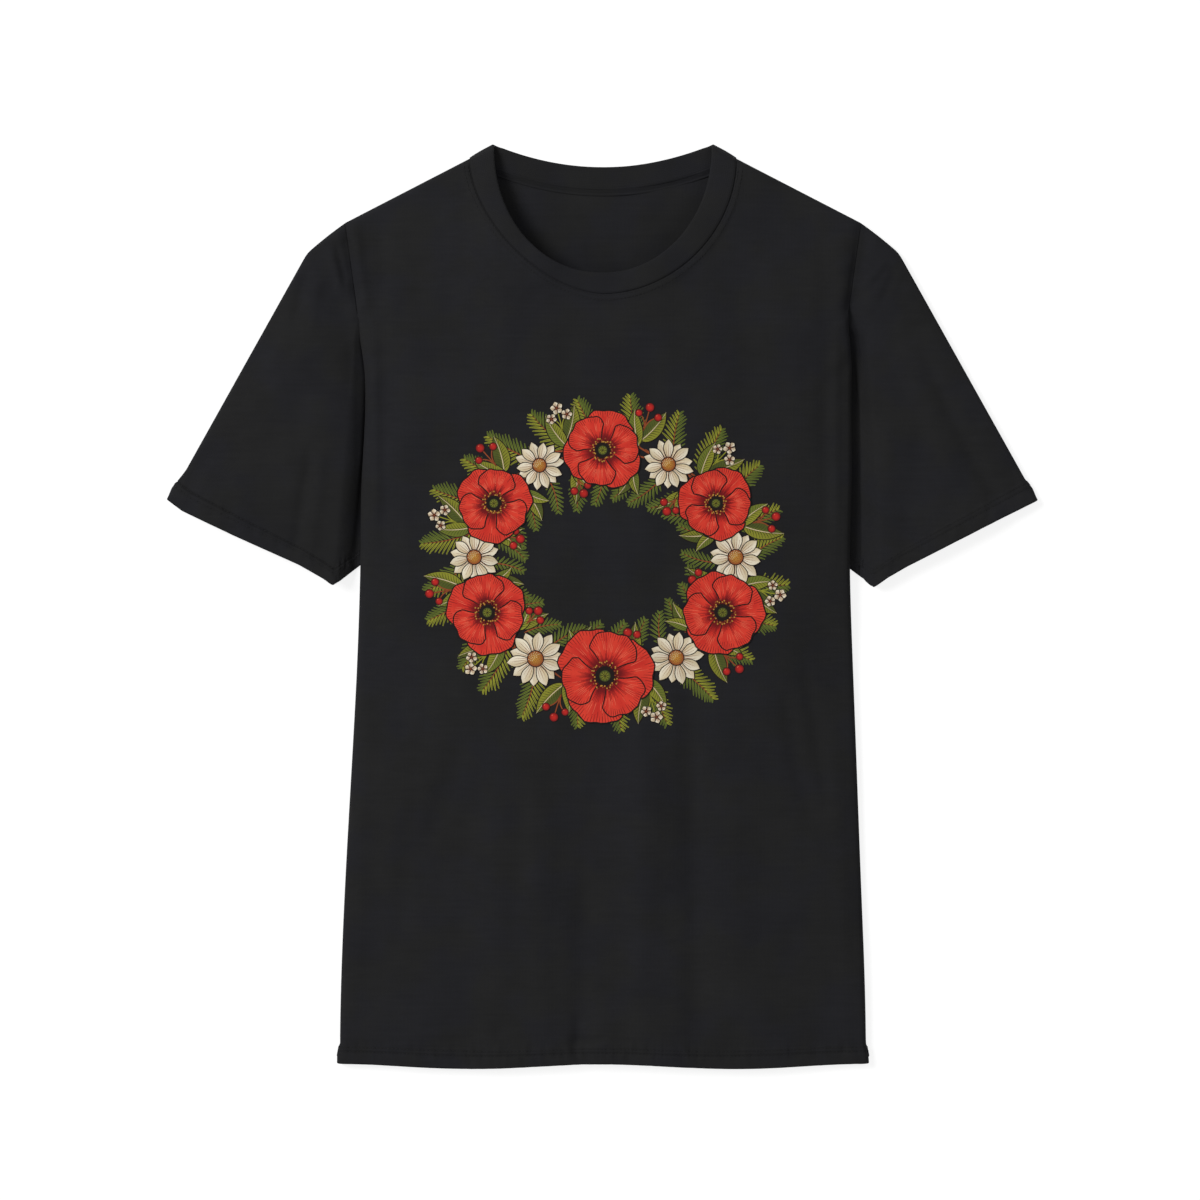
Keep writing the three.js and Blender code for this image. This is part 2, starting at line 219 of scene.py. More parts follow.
WAVES = 0.5  # the height of the loose waves
CRUMPLE, GATHERED = 0.04, 0.26  # the height of the fine creases, and what the armholes add to it
GATHER_REACH = 26
ARMHOLE_DEPTH = 0.5  # how deep the seam of the armhole lies
ARMHOLE_REACH = 2.6  # how far its dip spreads on the right
LEFT_DIPS = ((606, 655, 3.0), (574, 600, 1.8))  # below which heights the left one is deeper, and how much
HEM_STEP = 0.75  # how much the turned-up hem adds to the cloth
HEM_PUCKER = 0.3
NEEDLE_REACH = 0.8  # the half width of the furrow under a row of stitches
NECK_ALLOWANCE = 0.75  # how much the allowance beside the neck seam raises the cloth
SEAM_DEPTH = 0.35
BACK_WAVES = 0.35

# Where the body rises and falls: the pairs of lengths between which each change comes about.
CROWN_UP = (0, 260)  # from the hem
CROWN_DOWN = (0, 110)  # from the shoulder
TUCK_ACROSS = (105, 164)  # from the middle
TUCK_UP = (290, 372)  # from the hem
TUCK_END = {1: (560, 650), -1: (573, 587)}  # from the hem, on the front and on the back
SIDE_OPENS = (576, 596)  # where the fold of the side gives way to the armhole

# Each soft fold: the curve that it follows, its half width and its height. The two sides are not alike.
FOLDS = [
    # gathered from the right shoulder's tip towards the armpit
    (bend((-193, 660), (-190, 622), (-181, 578)), 4.2, 2.3),
    (bend((-201, 656), (-197, 618), (-189, 584)), 3.4, -1.8),
    (bend((-176, 664), (-170, 622), (-166, 560)), 7, -0.8),
    (bend((-152, 668), (-146, 630), (-140, 580)), 12, -0.7),
    # down the right side
    (bend((-180, 604), (-174, 520), (-177, 385)), 4, 1.3),
    (bend((-171, 600), (-165, 505), (-170, 370)), 5, -0.8),
    (bend((-158, 570), (-153, 470), (-152, 340)), 6, 0.4),
    # from the left shoulder's tip and down the left side
    (bend((188, 650), (184, 620), (181, 585)), 6, 1.0),
    (bend((168, 655), (172, 610), (173, 550)), 7, -0.7),
    (bend((182, 600), (179, 520), (181, 385)), 4, 1.1),
    (bend((172, 570), (170, 480), (174, 390)), 5, -0.7),
    (bend((140, 668), (146, 640), (150, 606)), 12, 0.7),
    # long soft folds of the waist
    (bend((-107, 268), (-118, 215), (-144, 150)), 10, -1.9),
    (bend((-84, 290), (-84, 190), (-84, 10)), 15, 1.4),
    (bend((-62, 240), (-64, 180), (-66, 110)), 7, -0.8),
    (bend((-48, 220), (-48, 120), (-46, -20)), 11, 1.4),
    (bend((-14, 200), (-14, 100), (-18, -60)), 10, -2.5),
    (bend((30, 330), (38, 190), (26, -20)), 14, 2.2),
    (bend((66, 350), (70, 180), (74, -40)), 10, -2.6),
    (bend((98, 290), (100, 160), (106, 0)), 13, 1.3),
    (bend((136, 310), (146, 240), (168, 170)), 7, -1.2),
    (bend((150, 340), (164, 270), (176, 180)), 6, -1.1),
    (bend((176, 300), (184, 180), (188, 10)), 8, 1.1),
    (bend((-140, 250), (-150, 170), (-162, 60)), 8, -0.8),
    (bend((-182, 330), (-188, 190), (-192, 20)), 7, 1.1),
    # where the hem is caught up near its middle
    (bend((-30, 22), (-8, 16), (6, 23)), 2.4, -1.9),
    (bend((-20, 44), (-19, 24), (-22, 2)), 3, -1.0),
    (bend((-86, 34), (-76, 16), (-66, 4)), 5, -1.1),
    # above the left armpit
    (bend((204, 664), (201, 615), (199, 545)), 6, -2.2),
    # the collar stands up a little on the right
    (bend((-92, 716), (-84, 634), (-26, 606)), 38, 5.9),
    # on the left sleeve
    (bend((221, 625), (209, 611), (197, 597)), 2.4, 1.5),
    (bend((228, 622), (222, 604), (212, 586)), 3.2, -1.1),
    (bend((240, 570), (270, 495), (324, 408)), 6.5, -2.4),
    (bend((228, 560), (254, 492), (298, 400)), 8, 1.3),
    (bend((216, 560), (220, 480), (226, 390)), 10, 0.9),
    (bend((214, 400), (228, 394), (244, 402)), 2.6, 0.8),
    # on the right sleeve
    (bend((-213, 636), (-206, 616), (-202, 594)), 3.2, 1.4),
    (bend((-208, 642), (-202, 620), (-198, 600)), 2.6, -1.2),
    (bend((-227, 624), (-233, 600), (-240, 570)), 5, -1.6),
    (bend((-219, 620), (-222, 594), (-227, 556)), 5, 1.0),
    (bend((-224, 490), (-232, 440), (-241, 380)), 4.5, -1.6),
    (bend((-216, 490), (-222, 430), (-230, 372)), 6, 1.2),
    (bend((-262, 530), (-272, 470), (-282, 406)), 10, 0.7),
    (bend((-296, 490), (-310, 462), (-328, 448)), 5, -0.8),
]

loose_front = random_waves(3, (45, 120), stretch=(1, 2.6))
loose_back = random_waves(5, (60, 150), stretch=(1, 1.8))
crumple = random_waves(8, (14, 34))
pucker = random_waves(11, (5, 9), stretch=(1, 3))


def fold_height(x, y):
    total = np.zeros(np.shape(x))
    for path, width, height in FOLDS:
        gap, where = distance_to(x, y, path)
        fade = smoothstep(where, 0, 0.3) * (1 - smoothstep(where, 0.7, 1))
        total += height * fade * hump(gap, width)
    return total


def near_armhole(x, y):
    """1 along the armholes, where the cloth is gathered a little, and 0 far from them."""
    return hump(half_width(y, x) - np.abs(x), GATHER_REACH) * smoothstep(y, 380, 560)


def front_waves(x, y):
    return WAVES * loose_front(x, y) + (CRUMPLE + GATHERED * near_armhole(x, y)) * crumple(x, y)


def armhole_dip(x, y, width):
    """How much lower the cloth lies near the seam of the armhole. The left one dips deeper, over width."""
    left = sum(deeper * (1 - smoothstep(y, low, high)) for low, high, deeper in LEFT_DIPS)
    depth = ARMHOLE_DEPTH + np.where(x > 0, left, 0)
    distance = half_width(np.maximum(y, ARMPIT[1]), x) - np.abs(x)
    return depth * hump(distance, np.where(x > 0, width, ARMHOLE_REACH))


def front_relief(x, y):
    dip = armhole_dip(x, y, width=3.6) * smoothstep(y, 574, 592)
    return fold_height(x, y) + front_waves(x, y) - dip


def seam_relief(face, x, y):
    """The allowance pressed flat beside the neck seam, and the valley at the seam itself."""
    gap, _ = distance_to(x, y, neckline(face))
    ridge = NECK_ALLOWANCE * smoothstep(gap, 0.8, 2.4) * (1 - smoothstep(gap, 5.2, 7.5))
    return ridge - SEAM_DEPTH * hump(gap, 1.2)


def hem_rows(height, lower_row=1.0):
    """1 at the upper row of the hem's stitches, lower_row at the other, and 0 beside them."""
    lower, upper = (hump(height - row, NEEDLE_REACH) for row in STITCH_ROWS)
    return upper + lower_row * lower


def hem_relief(height, run, tight=0.5, lower_row=1.0):
    """The turned-up hem is thicker, dips by tight under its two rows of stitches, and puckers along them."""
    thicker = HEM_STEP * (1 - smoothstep(height, HEM_ALLOWANCE + 0.3, HEM_ALLOWANCE + 1.5))
    gathered = (1 - smoothstep(height, HEM_ALLOWANCE, HEM_ALLOWANCE + 9)) * smoothstep(height, -2, 8)
    return thicker - tight * hem_rows(height, lower_row) + HEM_PUCKER * gathered * pucker(run, height)


def body_lift(x, y, face):
    """How far the body is lifted by what the sleeves tuck beneath it, from the waist to the armpits."""
    above = 1 - smoothstep(y, *TUCK_END[face])
    return TUCK_LIFT * smoothstep(np.abs(x), *TUCK_ACROSS) * smoothstep(y, *TUCK_UP) * above


def body_depth(x, y):
    across = np.clip(1 - (x / half_width(y, x)) ** 2, 0, 1)
    crown = lerp(HEM_CROWN, CHEST_CROWN, smoothstep(y, *CROWN_UP))
    return EDGE_DEPTH + crown * across**0.8 * smoothstep(below_shoulder(x, y), *CROWN_DOWN)


def body_points(x, y, face, inset=0.0):
    """The points of the body's outer surface above or below (x, y), moved in from it by inset."""
    side = half_width(y, x) - np.abs(x) + 4 * FOLD_RADIUS * smoothstep(y, *SIDE_OPENS)
    shoulder = below_shoulder(x, y)
    fold = np.clip(1 - np.minimum(side, shoulder) / FOLD_RADIUS, 0, 1)
    flat = np.sqrt(1 - fold**2)
    over_shoulder = shoulder < side
    out_x = np.sign(x) * np.where(over_shoulder, math.sin(shoulder_angle), 1)
    out_y = np.where(over_shoulder, math.cos(shoulder_angle), 0)
    if face > 0:
        reach = body_depth(x, y) - FOLD_RADIUS + front_relief(x, y)
    else:
        lying = smoothstep(body_lift(x, y, face), 0.2, 2)
        reach = FOLD_RADIUS - BACK_WAVES * np.abs(loose_back(x, y)) * (1 - lying)
    z = body_lift(x, y, face) + FOLD_RADIUS + face * (reach - inset) * flat
    return np.stack([x - inset * fold * out_x, y - inset * fold * out_y, z], axis=-1)


# ---- Meshes --------------------------------------------------------------------------------------------


def grid_normals(points, wrapped, outward):
    """The unit normals of a grid of points, on the side that outward (1 or -1) gives."""
    if wrapped:
        run = np.roll(points, -1, axis=0) - np.roll(points, 1, axis=0)
    else:
        run = np.gradient(points, axis=0)
    return outward * unit(np.cross(run, np.gradient(points, axis=1)))


def add_object(name, data):
    made = bpy.data.objects.new(name, data)
    bpy.context.scene.collection.objects.link(made)
    return made


def add_piece(name, mesh):
    """A smooth piece of the shirt, which rides with it."""
    mesh.polygons.foreach_set("use_smooth", np.ones(len(mesh.polygons), bool))
    mesh.update()
    piece = add_object(name, mesh)
    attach(piece, "root")
    return piece


def make_piece(name, points, faces, material, uv, map_name="UVMap"):
    """A piece with its flat map, from points in millimetres and faces that turn outwards."""
    mesh = bpy.data.meshes.new(name)
    mesh.from_pydata(to_frame(points).tolist(), [], faces)
    layer = mesh.uv_layers.new(name=map_name)
    corners = np.empty(len(mesh.loops), np.int32)
    mesh.loops.foreach_get("vertex_index", corners)
    layer.data.foreach_set("uv", np.asarray(uv, np.float32)[corners].ravel())
    mesh.materials.append(material)
    return add_piece(name, mesh)


def loop_faces(rows, length, wrapped):
    """The quads between rows of points, each row a closed loop of the given length."""
    i, k = np.meshgrid(np.arange(rows if wrapped else rows - 1), np.arange(length), indexing="ij")
    nxt, over = (i + 1) % rows, (k + 1) % length
    quads = np.stack([i * length + k, nxt * length + k, nxt * length + over, i * length + over], axis=-1)
    return quads.reshape(-1, 4).tolist()


def signed_volume(points, faces):
    corners = [np.asarray(points)[[face[k] for face in faces if len(face) == 4]] for k in range(4)]
    a, b, c, d = corners
    return (np.einsum("ij,ij->i", a, np.cross(b, c)) + np.einsum("ij,ij->i", a, np.cross(c, d))).sum()


def cloth(name, outer, thickness, material, uv, outward=1, wrapped=False, painted_groove_shade=None):
    """A sheet of cloth as one closed mesh, from the grid of its outer points, with rounded raw edges.

    The last argument gives how dark the cloth is painted at each outer point, from 0 to 1: painted shade for
    the furrows that stitches press into it.
    """
    normals = grid_normals(outer, wrapped, outward)
    thickness = np.broadcast_to(thickness, outer.shape[:2])[..., None]
    inner = outer - normals * thickness
    middle = outer - normals * thickness / 2
    edge = unit(np.gradient(outer, axis=1))
    first = middle[:, :1] - edge[:, :1] * thickness[:, :1] * RAW_EDGE
    last = middle[:, -1:] + edge[:, -1:] * thickness[:, -1:] * RAW_EDGE
    loops = np.concatenate([outer, last, inner[:, ::-1], first], axis=1)
    loops[..., 2] = np.maximum(loops[..., 2], 0)
    rows, length = loops.shape[:2]
    points = loops.reshape(-1, 3)
    faces = loop_faces(rows, length, wrapped)
    if not wrapped:
        width = outer.shape[1]
        for row, flipped in ((0, False), (rows - 1, True)):
            base = row * length
            inner_of = [base + 2 * width - k for k in range(width)]
            ends = [[base + k, base + k + 1, inner_of[k + 1], inner_of[k]] for k in range(width - 1)]
            ends.append([base + width - 1, base + width, inner_of[-1]])
            ends.append([base, inner_of[0], base + length - 1])
            faces += [face[::-1] for face in ends] if flipped else ends
    if signed_volume(points, faces) < 0:
        faces = [face[::-1] for face in faces]
    uv = np.concatenate([uv, uv[:, -1:], uv[:, ::-1], uv[:, :1]], axis=1).reshape(-1, 2)
    piece = make_piece(name, points, faces, material, uv)
    # The darkening is painted shade for the furrows under the stitches, kept as an attribute that the cotton
    # shader reads.
    if painted_groove_shade is not None:
        depth = np.zeros(loops.shape[:2], np.float32)
        depth[:, : outer.shape[1]] = painted_groove_shade
        piece.data.attributes.new("painted_groove_shade", "FLOAT", "POINT").data.foreach_set("value", depth.ravel())
    return piece


# ---- Shaders -------------------------------------------------------------------------------------------


class Wire:
    """A number that changes over the surface. Arithmetic on it adds Math nodes."""

    def __init__(self, graph, socket):
        self.graph = graph
        self.socket = socket

    def other(self, output):
        """Another output of the same node."""
        return Wire(self.graph, self.socket.node.outputs[output])

    def math(self, operation, *values):
        inputs = dict(enumerate(values))
        return self.graph.node("ShaderNodeMath", {"operation": operation}, inputs)

    def __add__(self, other):
        return self.math("ADD", self, other)

    def __sub__(self, other):
        return self.math("SUBTRACT", self, other)

    def __rsub__(self, other):
        return self.math("SUBTRACT", other, self)

    def __mul__(self, other):
        return self.math("MULTIPLY", self, other)

    def __truediv__(self, other):
        return self.math("DIVIDE", self, other)

    __radd__ = __add__
    __rmul__ = __mul__

    def fraction(self):
        return self.math("FRACT", self)

    def size(self):
        return self.math("ABSOLUTE", self)

    def sine(self):
        return self.math("SINE", self)

    def power(self, exponent):
        return self.math("POWER", self, exponent)

    def ramp(self, low, high):
        """0 below low, 1 above high, and smooth between."""
        limits = {"From Min": low, "From Max": high, "Value": self}
        settings = {"interpolation_type": "SMOOTHSTEP"}
        return self.graph.node("ShaderNodeMapRange", settings, limits)


class Graph:
    """A tree of nodes that is put together from Python expressions."""

    def __init__(self, tree):
        self.tree = tree
        self.tree.nodes.clear()

    def node(self, kind, settings=None, inputs=None, output=0):
        """A node of any kind. Its settings are set first, and then the values or wires of its sockets."""
        made = self.tree.nodes.new(kind)
        for key, value in (settings or {}).items():
            setattr(made, key, value)
        for key, value in (inputs or {}).items():
            socket = made.inputs[key]
            if isinstance(value, Wire):
                self.tree.links.new(value.socket, socket)
            else:
                socket.default_value = value
        return Wire(self, made.outputs[output]) if made.outputs else None


class Shader(Graph):
    """A material."""

    def __init__(self, name):
        self.material = bpy.data.materials.new(name)
        self.material.use_nodes = True
        super().__init__(self.material.node_tree)

    def uv(self):
        """The piece's own UV map, as its two numbers."""
        coordinates = self.node("ShaderNodeTexCoord", output="UV")
        split = self.node("ShaderNodeSeparateXYZ", inputs={0: coordinates})
        return split, split.other(1)

    def place(self):
        return self.node("ShaderNodeTexCoord", output="Object")

    def noise(self, vector, scale, stretch=(1, 1, 1), detail=2.0):
        """Smooth noise from 0 to 1, longer along an axis by stretch."""
        squeezed = tuple(1 / s for s in stretch)
        mapped = self.node("ShaderNodeMapping", inputs={"Vector": vector, "Scale": squeezed})
        return self.node("ShaderNodeTexNoise", inputs={"Vector": mapped, "Scale": scale, "Detail": detail})

    def mix(self, factor, first, second, blend="MIX"):
        """A colour between two, which are colours or wires, or the two put together in another way."""
        settings = {"data_type": "RGBA", "blend_type": blend}
        return self.node("ShaderNodeMix", settings, {"Factor": factor, 6: first, 7: second}, output=2)

    def attribute(self, name, output="Color"):
        """What the piece's points hold under that name."""
        return self.node("ShaderNodeAttribute", {"attribute_name": name}, output=output)

    def surface_of(self, **values):
        """The finished material, from the sockets of Blender's Principled shader."""
        inputs = {name.replace("_", " "): value for name, value in values.items()}
        return self.finish(self.node("ShaderNodeBsdfPrincipled", inputs=inputs))

    def bump(self, height, distance):
        return self.node("ShaderNodeBump", inputs={"Height": height, "Distance": distance})

    def finish(self, shader):
        self.node("ShaderNodeOutputMaterial", inputs={"Surface": shader})
        return self.material


def colour(red, green, blue):
    """A screen colour from 0 to 255, as the linear light that Blender takes."""
    parts = [c / 255 for c in (red, green, blue)]
    return (*[c / 12.92 if c <= 0.04045 else ((c + 0.055) / 1.055) ** 2.4 for c in parts], 1)


def knit_relief(u, v, wale, course):
    """The height of plain knitting, in columns of V-shaped loops. wale and course are in metres."""
    across = ((u / wale).fraction() - 0.5).size() * 2
    lean = (v / course + across * 0.45) * (2 * math.pi)
    return (lean.sine() * 0.35 + 0.65) * (1 - across.power(3.0))


JERSEY_KNIT = (0.00105, 0.0008)  # the width of a column of loops, and the height of a row, in metres
COOL_TINT = (0.96, 0.97, 1.1, 1)  # where black dye turns a little blue


def cotton(name, tone, wale, course, relief=0.00010, streaks=0.17):
    """Black cotton: knitted loops, fuzz, thick and thin yarns across it, dye that is not quite even, and
    painted shade along stitched furrows.
    """
    shader = Shader(name)
    place = shader.place()
    fuzz = shader.noise(place, 1500, detail=3)
    yarn = shader.noise(place, 420, stretch=(18, 1, 1), detail=2)
    dye = shader.noise(place, 34, stretch=(1, 1.6, 1), detail=6)
    tint = shader.noise(place, 26, detail=5)
    loops = knit_relief(*shader.uv(), wale, course)
    even = 0.5 + streaks * (yarn - 0.5) + 0.3 * (fuzz - 0.5) + 0.3 * (dye - 0.5) + 0.16 * (loops - 0.5)
    dark, light = (tuple(c * share for c in tone[:3]) + (1,) for share in (0.6, 1.4))
    # The attribute darkens the cloth with painted shade along the stitched furrows of the hems.
    grey = shader.mix(even.ramp(0.1, 0.9) * (1 - shader.attribute("painted_groove_shade", "Fac")), dark, light)
    return shader.surface_of(
        Base_Color=shader.mix(tint.ramp(0.4, 0.62), grey, COOL_TINT, "MULTIPLY"),
        Roughness=0.88 + 0.1 * fuzz,
        Specular_IOR_Level=0.12,
        Sheen_Weight=0.02,
        Sheen_Roughness=0.45,
        Normal=shader.bump(loops + 0.5 * fuzz, relief),
    )


jersey = cotton("black_jersey", colour(34, 34, 34.5), *JERSEY_KNIT)
rib_knit = cotton("black_rib", colour(33.5, 33.5, 34), 0.0013, 0.0009, relief=0.00014, streaks=0.08)
tape_twill = cotton("black_tape", colour(33, 33, 33.5), 0.0009, 0.0018, streaks=0.08)


def sewing_thread():
    """Black thread with a slight gloss, twisted from strands."""
    shader = Shader("black_thread")
    strands = shader.noise(shader.place(), 2600, detail=1)
    return shader.surface_of(
        Base_Color=shader.mix(strands, colour(17, 17, 18), colour(31, 31, 32)),
        Roughness=0.68,
        Specular_IOR_Level=0.25,
        Normal=shader.bump(strands, 0.00008),
    )


thread_black = sewing_thread()

# ---- The body ------------------------------------------------------------------------------------------


def turn_then_even(length):
    """Distances that go round a fold in six steps, and then on evenly to length."""
    turn = FOLD_RADIUS * (1 - np.cos(np.radians(np.arange(0, 91, 15))))
    rest = np.linspace(FOLD_RADIUS, length, round((length - FOLD_RADIUS) / CELL) + 1)
    return np.concatenate([turn, rest[1:]])


NECK_HEM = 114  # the place on the hem that is straight below the neck's corner
tip_x, tip_y = SHOULDER_TIP
HEM_ROWS = np.array((0, 1.4, 2.8, 4.2, 5.6, 6.8, 7.9, 8.7, 9.3, 9.9, 10.9, 11.9, 12.5, 13.1, 13.7, 14.6, 16))
body_rows = np.concatenate([HEM_ROWS, (tip_y - turn_then_even(tip_y - 18))[::-1]])


def panel_columns(face):
    """The top end (x, y) of each column of a panel, and the place on the hem where it starts."""
    shoulder = math.hypot(tip_x - NECK_SEAM["half_width"], NECK_SEAM["y"] - tip_y)
    whole = neckline(face)
    middle = len(whole) // 2
    count = round(along(whole[middle:])[-1] / CELL)
    neck, neck_right = evenly(whole[middle:], count), evenly(whole[middle::-1], count)
    neck_hem = np.linspace(0, NECK_HEM, len(neck))
    out = (shoulder - turn_then_even(shoulder)[::-1])[1:] / shoulder
    tops = np.stack([lerp(NECK_SEAM["half_width"], tip_x, out), lerp(NECK_SEAM["y"], tip_y, out)], axis=1)
    half_top, right_top = np.concatenate([neck, tops]), np.concatenate([neck_right, tops * [-1, 1]])
    half_hem = np.concatenate([neck_hem, lerp(NECK_HEM, HEM_HALF_WIDTH, out)])
    top = np.concatenate([right_top[:0:-1], half_top])
    return top, np.concatenate([-half_hem[:0:-1], half_hem])


def panel(name, face):
    """The front or the back, spread between the hem, the sides with their armholes, and the neckline."""
    top, hem = panel_columns(face)
    hem, height = hem[:, None], body_rows[None, :]
    share = height / tip_y
    drift = half_width(height, hem) - lerp(HEM_HALF_WIDTH, tip_x, share)
    x = lerp(hem, top[:, :1], share) + drift * np.sign(hem) * (np.abs(hem) / HEM_HALF_WIDTH) ** 4
    y = lerp(hem_edge(hem), top[:, 1:], share)
    points = body_points(x, y, face)
    normals = grid_normals(points, False, face)
    detail = hem_relief(height, x) + seam_relief(face, x, y) * smoothstep(below_shoulder(x, y), 0, 8)
    if face < 0:
        detail = np.minimum(detail, 0)
    points = points + normals * detail[..., None]
    points[..., 2] = np.maximum(points[..., 2], 0)
    thickness = np.where(height <= HEM_ALLOWANCE, HEM_THICKNESS, JERSEY)
    uv = np.stack([x, y], axis=-1) / 1000
    # The hem's two rows of stitches get painted shade along them.
    piece = cloth(name, points, thickness, jersey, uv, outward=face, painted_groove_shade=0.4 * hem_rows(height))
    rows = [np.searchsorted(body_rows, row) for row in STITCH_ROWS]
    return piece, [(points[:, row], normals[:, row]) for row in rows]


front, front_hem_lines = panel("front_cloth", 1)
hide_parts("front_panel")

back, back_hem_lines = panel("back_cloth", -1)
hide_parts("back_panel")

# ---- The sleeves ---------------------------------------------------------------------------------------

# Each sleeve turns down beside the body along its crease. The crease starts at the armpit, bears towards
# "crease_top" over the share "opening" of the sleeve's length, and ends at a corner of the hem. The turn is a
# roll whose width goes from "roll_top" to "roll", evened out by "softness". "crown_end" is how far round its
# arch the top of the sleeve has come at the crease, and "lip" how much higher the cloth lies there, over what
# width, and the share of the length that this takes to build up. "hem" lists how far the hem's edge departs
# from a straight line, at shares of the way from fold to crease. "tight" is how deep the hem's stitching is
# and how dark the painted shade along it is, "lower_row" how much of that its lower row has, and "flare" how
# far the hem stands out at the fold.
SLEEVES = {
    "left": {
        "side": 1,
        "crease_top": 200.4,
        "corner": (202, 378.5),
        "crown_end": 0.88,
        "roll_top": 9,
        "roll": 2.5,
        "softness": 0.4,
        "opening": 0.15,
        "lip": (-7.4, 17, 0.1),
        "flare": 0,
        "tight": 0.22,
        "lower_row": 1,
        "hem": ((0, 0.19, 0.44, 0.75, 0.86, 0.94, 0.97, 1), (0, -1.4, -3.6, -6.4, -8.4, -11.4, -7, -1)),
    },
    "right": {
        "side": -1,
        "crease_top": 191.5,
        "corner": (209, 372),
        "crown_end": 0.72,
        "roll_top": 8,
        "roll": 18,
        "softness": 1,
        "opening": 0.14,
        "lip": (1.2, 45, 0.5),
        "flare": 1.3,
        "tight": 0.95,
        "lower_row": 0.25,
        "hem": ((0, 0.09, 0.4, 0.8, 0.95, 1), (0, -2.6, -1, 2.6, 1.6, 0)),
    },
}
SLEEVE_LENGTH = 222  # along the middle of the top, from the seam to the hem
SLEEVE_CRUMPLE = 0.14
FLARE_OUT = np.array([0.87, 0.49])  # the direction in which a hem stands out at the fold
ROLL_SPREAD = 0.42  # the share of the length over which the roll takes its full width
ROLL_FOOT = 1.3  # how high the roll ends
SEAM_TUCKED = 0.7  # how far the end of a sleeve dips beneath the body at the armhole
loose_sleeve = random_waves(21, (40, 90))


def sleeve_fold(s, form):
    """The top fold of a sleeve, which curves from the shoulder's tip to a knee and then runs straight."""
    x = lerp(tip_x, SLEEVE_TIP[0], s)
    slope, growth = SLEEVE_CAP_SLOPE
    bent = min(x - tip_x, SLEEVE_CAP_LENGTH)
    near_shoulder = tip_y - slope * (x - tip_x) - growth * bent * (x - tip_x - bent / 2)
    near_hem = SLEEVE_TIP[1] + SLEEVE_FOLD_SLOPE * (SLEEVE_TIP[0] - x)
    apart = abs(near_shoulder - near_hem) / SLEEVE_KNEE_RADIUS
    flare = form["flare"] * smoothstep(s, 0.9, 0.94)
    y = min(near_shoulder, near_hem) - SLEEVE_KNEE_RADIUS * math.log1p(math.exp(-apart))
    return np.array([x, y]) + flare * FLARE_OUT


def sleeve_crease(s, form):
    """The line where a sleeve begins to turn down beside the body."""
    corner_x, corner_y = form["corner"]
    start = lerp(ARMPIT[0], form["crease_top"], smoothstep(s, 0, form["opening"]))
    return np.array([lerp(start, corner_x, s), lerp(ARMPIT[1], corner_y, s)])


def sleeve_tuck(s, crease):
    """The underarm's fold, which runs in beneath the body just below the armpit."""
    inward = lerp(crease[0] - 3, SLEEVE_TUCK[0], smoothstep(s, 0, 0.1))
    return np.array([inward, lerp(ARMPIT[1] - 1, SLEEVE_TUCK[1], s)])


def sleeve_ring(s, form):
    """The points round a sleeve at s, from 0 at the armhole to 1 at the hem."""
    fold, crease = sleeve_fold(s, form), sleeve_crease(s, form)
    tuck = sleeve_tuck(s, crease)
    width, inward = np.linalg.norm(crease - fold), np.linalg.norm(tuck - crease)
    lip, lip_width, lip_share = form["lip"]
    roll = min(lerp(form["roll_top"], form["roll"], smoothstep(s, 0, ROLL_SPREAD)), inward - 1)

    def on_top(distance, z):
        return [*lerp(fold, crease, distance / width), z]

    def on_tuck(distance, z):
        return [*lerp(crease, tuck, distance / inward), z]

    ring = []
    for angle in np.radians(np.arange(-90, 91, 15)):
        out, up = FOLD_RADIUS * math.cos(angle), FOLD_RADIUS * math.sin(angle)
        ring.append(on_top(FOLD_RADIUS - out, FOLD_RADIUS + up))
    for t in np.linspace(0, 1, 51)[1:]:
        crown = SLEEVE_CROWN * math.sin(math.pi * form["crown_end"] * t) ** 0.7 * smoothstep(s, 0, 0.35)
        crown += lip * smoothstep(t * width, width - lip_width, width) * smoothstep(s, 0, lip_share)
        ring.append(on_top(lerp(FOLD_RADIUS, width, t), EDGE_DEPTH + crown))
    top = ring[-1][2]
    for t in np.linspace(0, 1, 17)[1:]:
        ring.append(on_tuck(roll * t, lerp(ROLL_FOOT, top, (1 - t**1.6) ** 0.8)))
    for t in np.linspace(0.12, 1, 9):
        ring.append(on_tuck(lerp(roll, inward, t), lerp(ROLL_FOOT, 2 * TUCK_RADIUS, t)))
    for angle in np.radians((60, 30, 0, -30, -60, -90)):
        out, up = TUCK_RADIUS * math.cos(angle), TUCK_RADIUS * math.sin(angle)
        ring.append(on_tuck(inward + out, TUCK_RADIUS + up))
    ring += [on_tuck(t * inward, 0) for t in np.linspace(0.9, 0, 9)]
    ring += [on_top(lerp(FOLD_RADIUS, width, t), 0) for t in np.linspace(0.98, 0.02, 40)]
    ring = np.array(ring, float)
    softer = (np.roll(ring, 1, axis=0) + 2 * ring + np.roll(ring, -1, axis=0)) / 4
    ring = lerp(ring, softer, form["softness"])
    t = np.clip(np.linalg.norm(ring[:, :2] - fold, axis=1) / width, 0, 1)
    ring[:, 1] += smoothstep(s, 0.72, 1) * np.interp(t, *form["hem"])
    return ring


